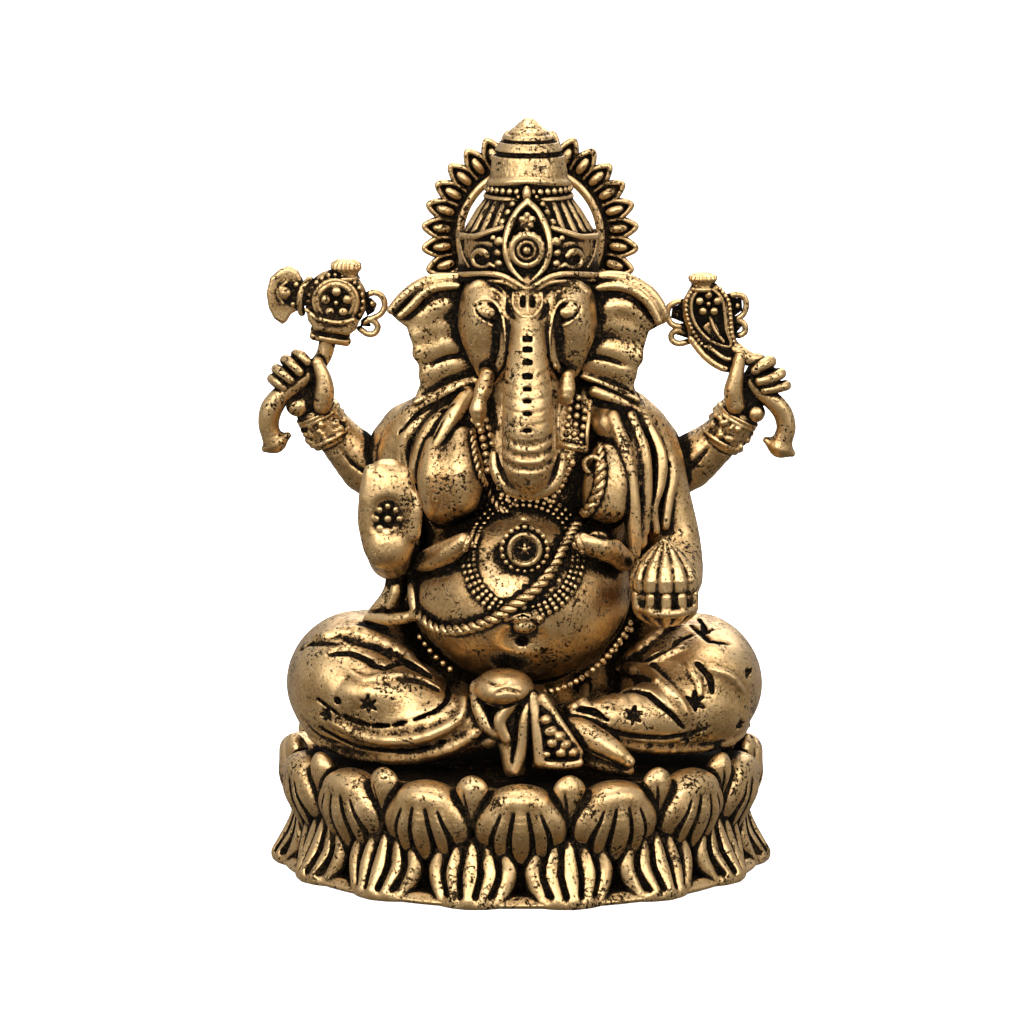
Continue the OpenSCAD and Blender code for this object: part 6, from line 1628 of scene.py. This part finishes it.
def finish(name, gold, darkness, rub):
    material = bpy.data.materials.new(name)
    material.use_nodes = True
    nodes, links = material.node_tree.nodes, material.node_tree.links
    nodes.clear()

    def add(kind, **settings):
        node = nodes.new(kind)
        for key, value in settings.items():
            setattr(node, key, value)
        return node

    def link(a, b):
        links.new(a, b)

    def maths(kind, a, b):
        node = add("ShaderNodeMath", operation=kind)
        for socket, value in zip(node.inputs, (a, b)):
            if isinstance(value, (int, float)):
                socket.default_value = value
            else:
                link(value, socket)
        return node.outputs[0]

    def noise(scale, detail, rough=0.6):
        node = add("ShaderNodeTexNoise")
        node.inputs["Scale"].default_value = scale
        node.inputs["Detail"].default_value = detail
        node.inputs["Roughness"].default_value = rough
        link(place.outputs["Object"], node.inputs["Vector"])
        return node.outputs["Fac"]

    def ramp(value, stops):
        node = add("ShaderNodeValToRGB")
        node.color_ramp.elements.remove(node.color_ramp.elements[0])
        first = node.color_ramp.elements[0]
        first.position, first.color = stops[0][0], tuple(stops[0][1]) + (1,)
        for position, colour in stops[1:]:
            node.color_ramp.elements.new(position).color = tuple(colour) + (1,)
        link(value, node.inputs["Fac"])
        return node.outputs["Color"]

    def mix(amount, a, b):
        node = add("ShaderNodeMix", data_type="RGBA")
        link(amount, node.inputs["Factor"])
        for socket, value in zip((node.inputs["A"], node.inputs["B"]), (a, b)):
            if isinstance(value, tuple):
                socket.default_value = value + (1,)
            else:
                link(value, socket)
        return node.outputs["Result"]

    place = add("ShaderNodeTexCoord")
    hollow_black_and_shade = add("ShaderNodeAttribute", attribute_name="hollow_black_and_shade")
    parts = add("ShaderNodeSeparateColor")
    link(hollow_black_and_shade.outputs["Color"], parts.inputs["Color"])
    hollow, deep = parts.outputs[0], parts.outputs[1]
    cloud = noise(350, 4)
    grit = noise(2600, 5, 0.7)
    fleck = noise(2100, 4, 0.7)
    patch = noise(240, 3)
    # How black a place is, as real black finish and painted shade together: fine grooves and wide hollows,
    # broken up by noise.
    groove = maths("MULTIPLY", maths("SUBTRACT", hollow, 0.13), 5.2)
    cave = maths("MULTIPLY", maths("SUBTRACT", deep, 0.22), 3.4)
    black_and_shade_amount = maths("ADD", maths("MAXIMUM", groove, 0.0), maths("MAXIMUM", cave, 0.0))
    black_and_shade_amount = maths("ADD", black_and_shade_amount, maths("MULTIPLY", maths("SUBTRACT", grit, 0.5), 1.3))
    black_and_shade_amount = maths("ADD", black_and_shade_amount, maths("MULTIPLY", maths("SUBTRACT", cloud, 0.5), 0.7))
    black_and_shade_amount = maths("ADD", black_and_shade_amount, darkness)
    black = ramp(black_and_shade_amount, [(0.40, (0, 0, 0)), (0.60, (1, 1, 1))])
    brown = ramp(black_and_shade_amount, [(0.1, (0, 0, 0)), (0.5, (1, 1, 1))])
    spots = maths("ADD", fleck, maths("MULTIPLY", maths("SUBTRACT", patch, 0.5), 0.55))
    pits = ramp(spots, [(0.375, (1, 1, 1)), (0.435, (0, 0, 0))])
    warm = mix(cloud, tuple(gold), (gold[0] * 0.86, gold[1] * 0.76, gold[2] * 0.55))
    metal_colour = mix(brown, warm, BROWN_FILM_AND_SHADE)
    black_and_shade_colour = mix(ramp(grit, [(0.56, (0, 0, 0)), (0.68, (1, 1, 1))]), BLACK_FINISH_AND_SHADE, BLACK_AND_SHADE_FLECK)
    dark = mix(black, metal_colour, black_and_shade_colour)
    colour = mix(pits, dark, PIT)
    shader = add("ShaderNodeBsdfPrincipled")
    shader.inputs["Specular IOR Level"].default_value = 0.03
    link(colour, shader.inputs["Base Color"])
    metallic = maths("SUBTRACT", 1.0, maths("MULTIPLY", black, 0.95))
    link(metallic, shader.inputs["Metallic"])
    smooth = maths("ADD", maths("MULTIPLY", black, 0.4), maths("MULTIPLY", grit, 0.22))
    link(maths("ADD", smooth, rub), shader.inputs["Roughness"])
    height = maths("ADD", maths("MULTIPLY", grit, 0.5), maths("MULTIPLY", cloud, 0.8))
    height = maths("SUBTRACT", height, maths("MULTIPLY", pits, 0.6))
    bump = add("ShaderNodeBump")
    bump.inputs["Strength"].default_value = 0.55
    bump.inputs["Distance"].default_value = 0.00022
    link(height, bump.inputs["Height"])
    link(bump.outputs["Normal"], shader.inputs["Normal"])
    output = add("ShaderNodeOutputMaterial")
    link(shader.outputs["BSDF"], output.inputs["Surface"])
    return material


FINISHES = {
    "antique_gold": finish("antique_gold", (0.83, 0.59, 0.315), 0.0, 0.2),
    "worn_gold": finish("worn_gold", (0.85, 0.61, 0.33), -0.14, 0.18),
    # The darkest copy is painted shade for the seat and drum as well as a heavier black finish.
    "blackened_gold": finish("blackened_gold", (0.60, 0.38, 0.16), 0.45, 0.3),
}
for piece, slot in PIECES:
    piece.data.materials.append(FINISHES[slot])

# %% [markdown]
# ## Floor and light
# The figurine stands on a white sweep of paper. Metal shows what is around it, so the light does the
# work: big soft panels make the broad highlights, and the dark gaps between them give contrast.
# The sweep glows a little, to be an even white, and it is kept out of the metal's reflections.

# %% Floor
floor_mesh = bpy.data.meshes.new("floor")
floor_mesh.from_pydata([(-4, -2, 0), (4, -2, 0), (4, 6, 0), (-4, 6, 0)], [], [(0, 1, 2, 3)])
floor = bpy.data.objects.new("floor", floor_mesh)
bpy.context.scene.collection.objects.link(floor)
floor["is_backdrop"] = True
white = bpy.data.materials.new("white_sweep")
white.use_nodes = True
sweep_shader = white.node_tree.nodes["Principled BSDF"]
sweep_shader.inputs["Base Color"].default_value = (0.9, 0.9, 0.9, 1)
sweep_shader.inputs["Roughness"].default_value = 0.9
sweep_shader.inputs["Emission Color"].default_value = (1, 1, 1, 1)
sweep_shader.inputs["Emission Strength"].default_value = 1.0
floor_mesh.materials.append(white)
floor.visible_glossy = False

# %% [markdown]
# ## Lights
# The world is a soft ramp from a dark floor to a bright ceiling. Five panels stand round the figure:
# left, right, front, top and back.

# %% Lights
world = bpy.data.worlds.new("room")
bpy.context.scene.world = world
world.use_nodes = True
room, room_links = world.node_tree.nodes, world.node_tree.links
look = room.new("ShaderNodeTexCoord")
split = room.new("ShaderNodeSeparateXYZ")
shade = room.new("ShaderNodeValToRGB")
shade.color_ramp.elements[0].position, shade.color_ramp.elements[0].color = 0.08, (0.13, 0.11, 0.08, 1)
shade.color_ramp.elements[1].position, shade.color_ramp.elements[1].color = 0.92, (0.85, 0.86, 0.88, 1)
shade.color_ramp.elements.new(0.38).color = (0.40, 0.37, 0.33, 1)
shade.color_ramp.elements.new(0.70).color = (0.52, 0.52, 0.52, 1)
lift = room.new("ShaderNodeMath")
lift.operation = "MULTIPLY_ADD"
lift.inputs[1].default_value = 0.5
lift.inputs[2].default_value = 0.5
room_links.new(look.outputs["Generated"], split.inputs["Vector"])
room_links.new(split.outputs["Z"], lift.inputs[0])
room_links.new(lift.outputs[0], shade.inputs["Fac"])
room_links.new(shade.outputs["Color"], room["Background"].inputs["Color"])
room["Background"].inputs["Strength"].default_value = 0.9


def panel(name, place, wide, high, power):
    light = bpy.data.lights.new(name, "AREA")
    light.shape = "RECTANGLE"
    light.size, light.size_y, light.energy = wide, high, power
    lamp = bpy.data.objects.new(name, light)
    lamp.location = place
    lamp.rotation_euler = (Vector((0, 0, 0.05)) - Vector(place)).to_track_quat("-Z", "Y").to_euler()
    bpy.context.scene.collection.objects.link(lamp)


panel("left_panel", (-0.50, -0.55, 0.42), 0.36, 0.50, 2.2)
panel("right_panel", (0.52, -0.45, 0.38), 0.34, 0.46, 1.7)
panel("front_panel", (-0.06, -0.85, 0.50), 0.60, 0.36, 3.6)
panel("top_panel", (0.0, 0.08, 0.62), 0.40, 0.40, 1.8)
panel("back_panel", (0.1, 0.60, 0.40), 0.6, 0.3, 1.6)
bpy.context.scene.view_settings.view_transform = "Standard"

# %% [markdown]
# ## Sizes
# The last step prints the size of the finished figure.

# %% Sizes and finish
now = [[float(v) for v in corner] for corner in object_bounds()]
print("visual box in mm:", [[round(v / MM, 1) for v in corner] for corner in now],
      f"{time.time() - started:.0f} s")
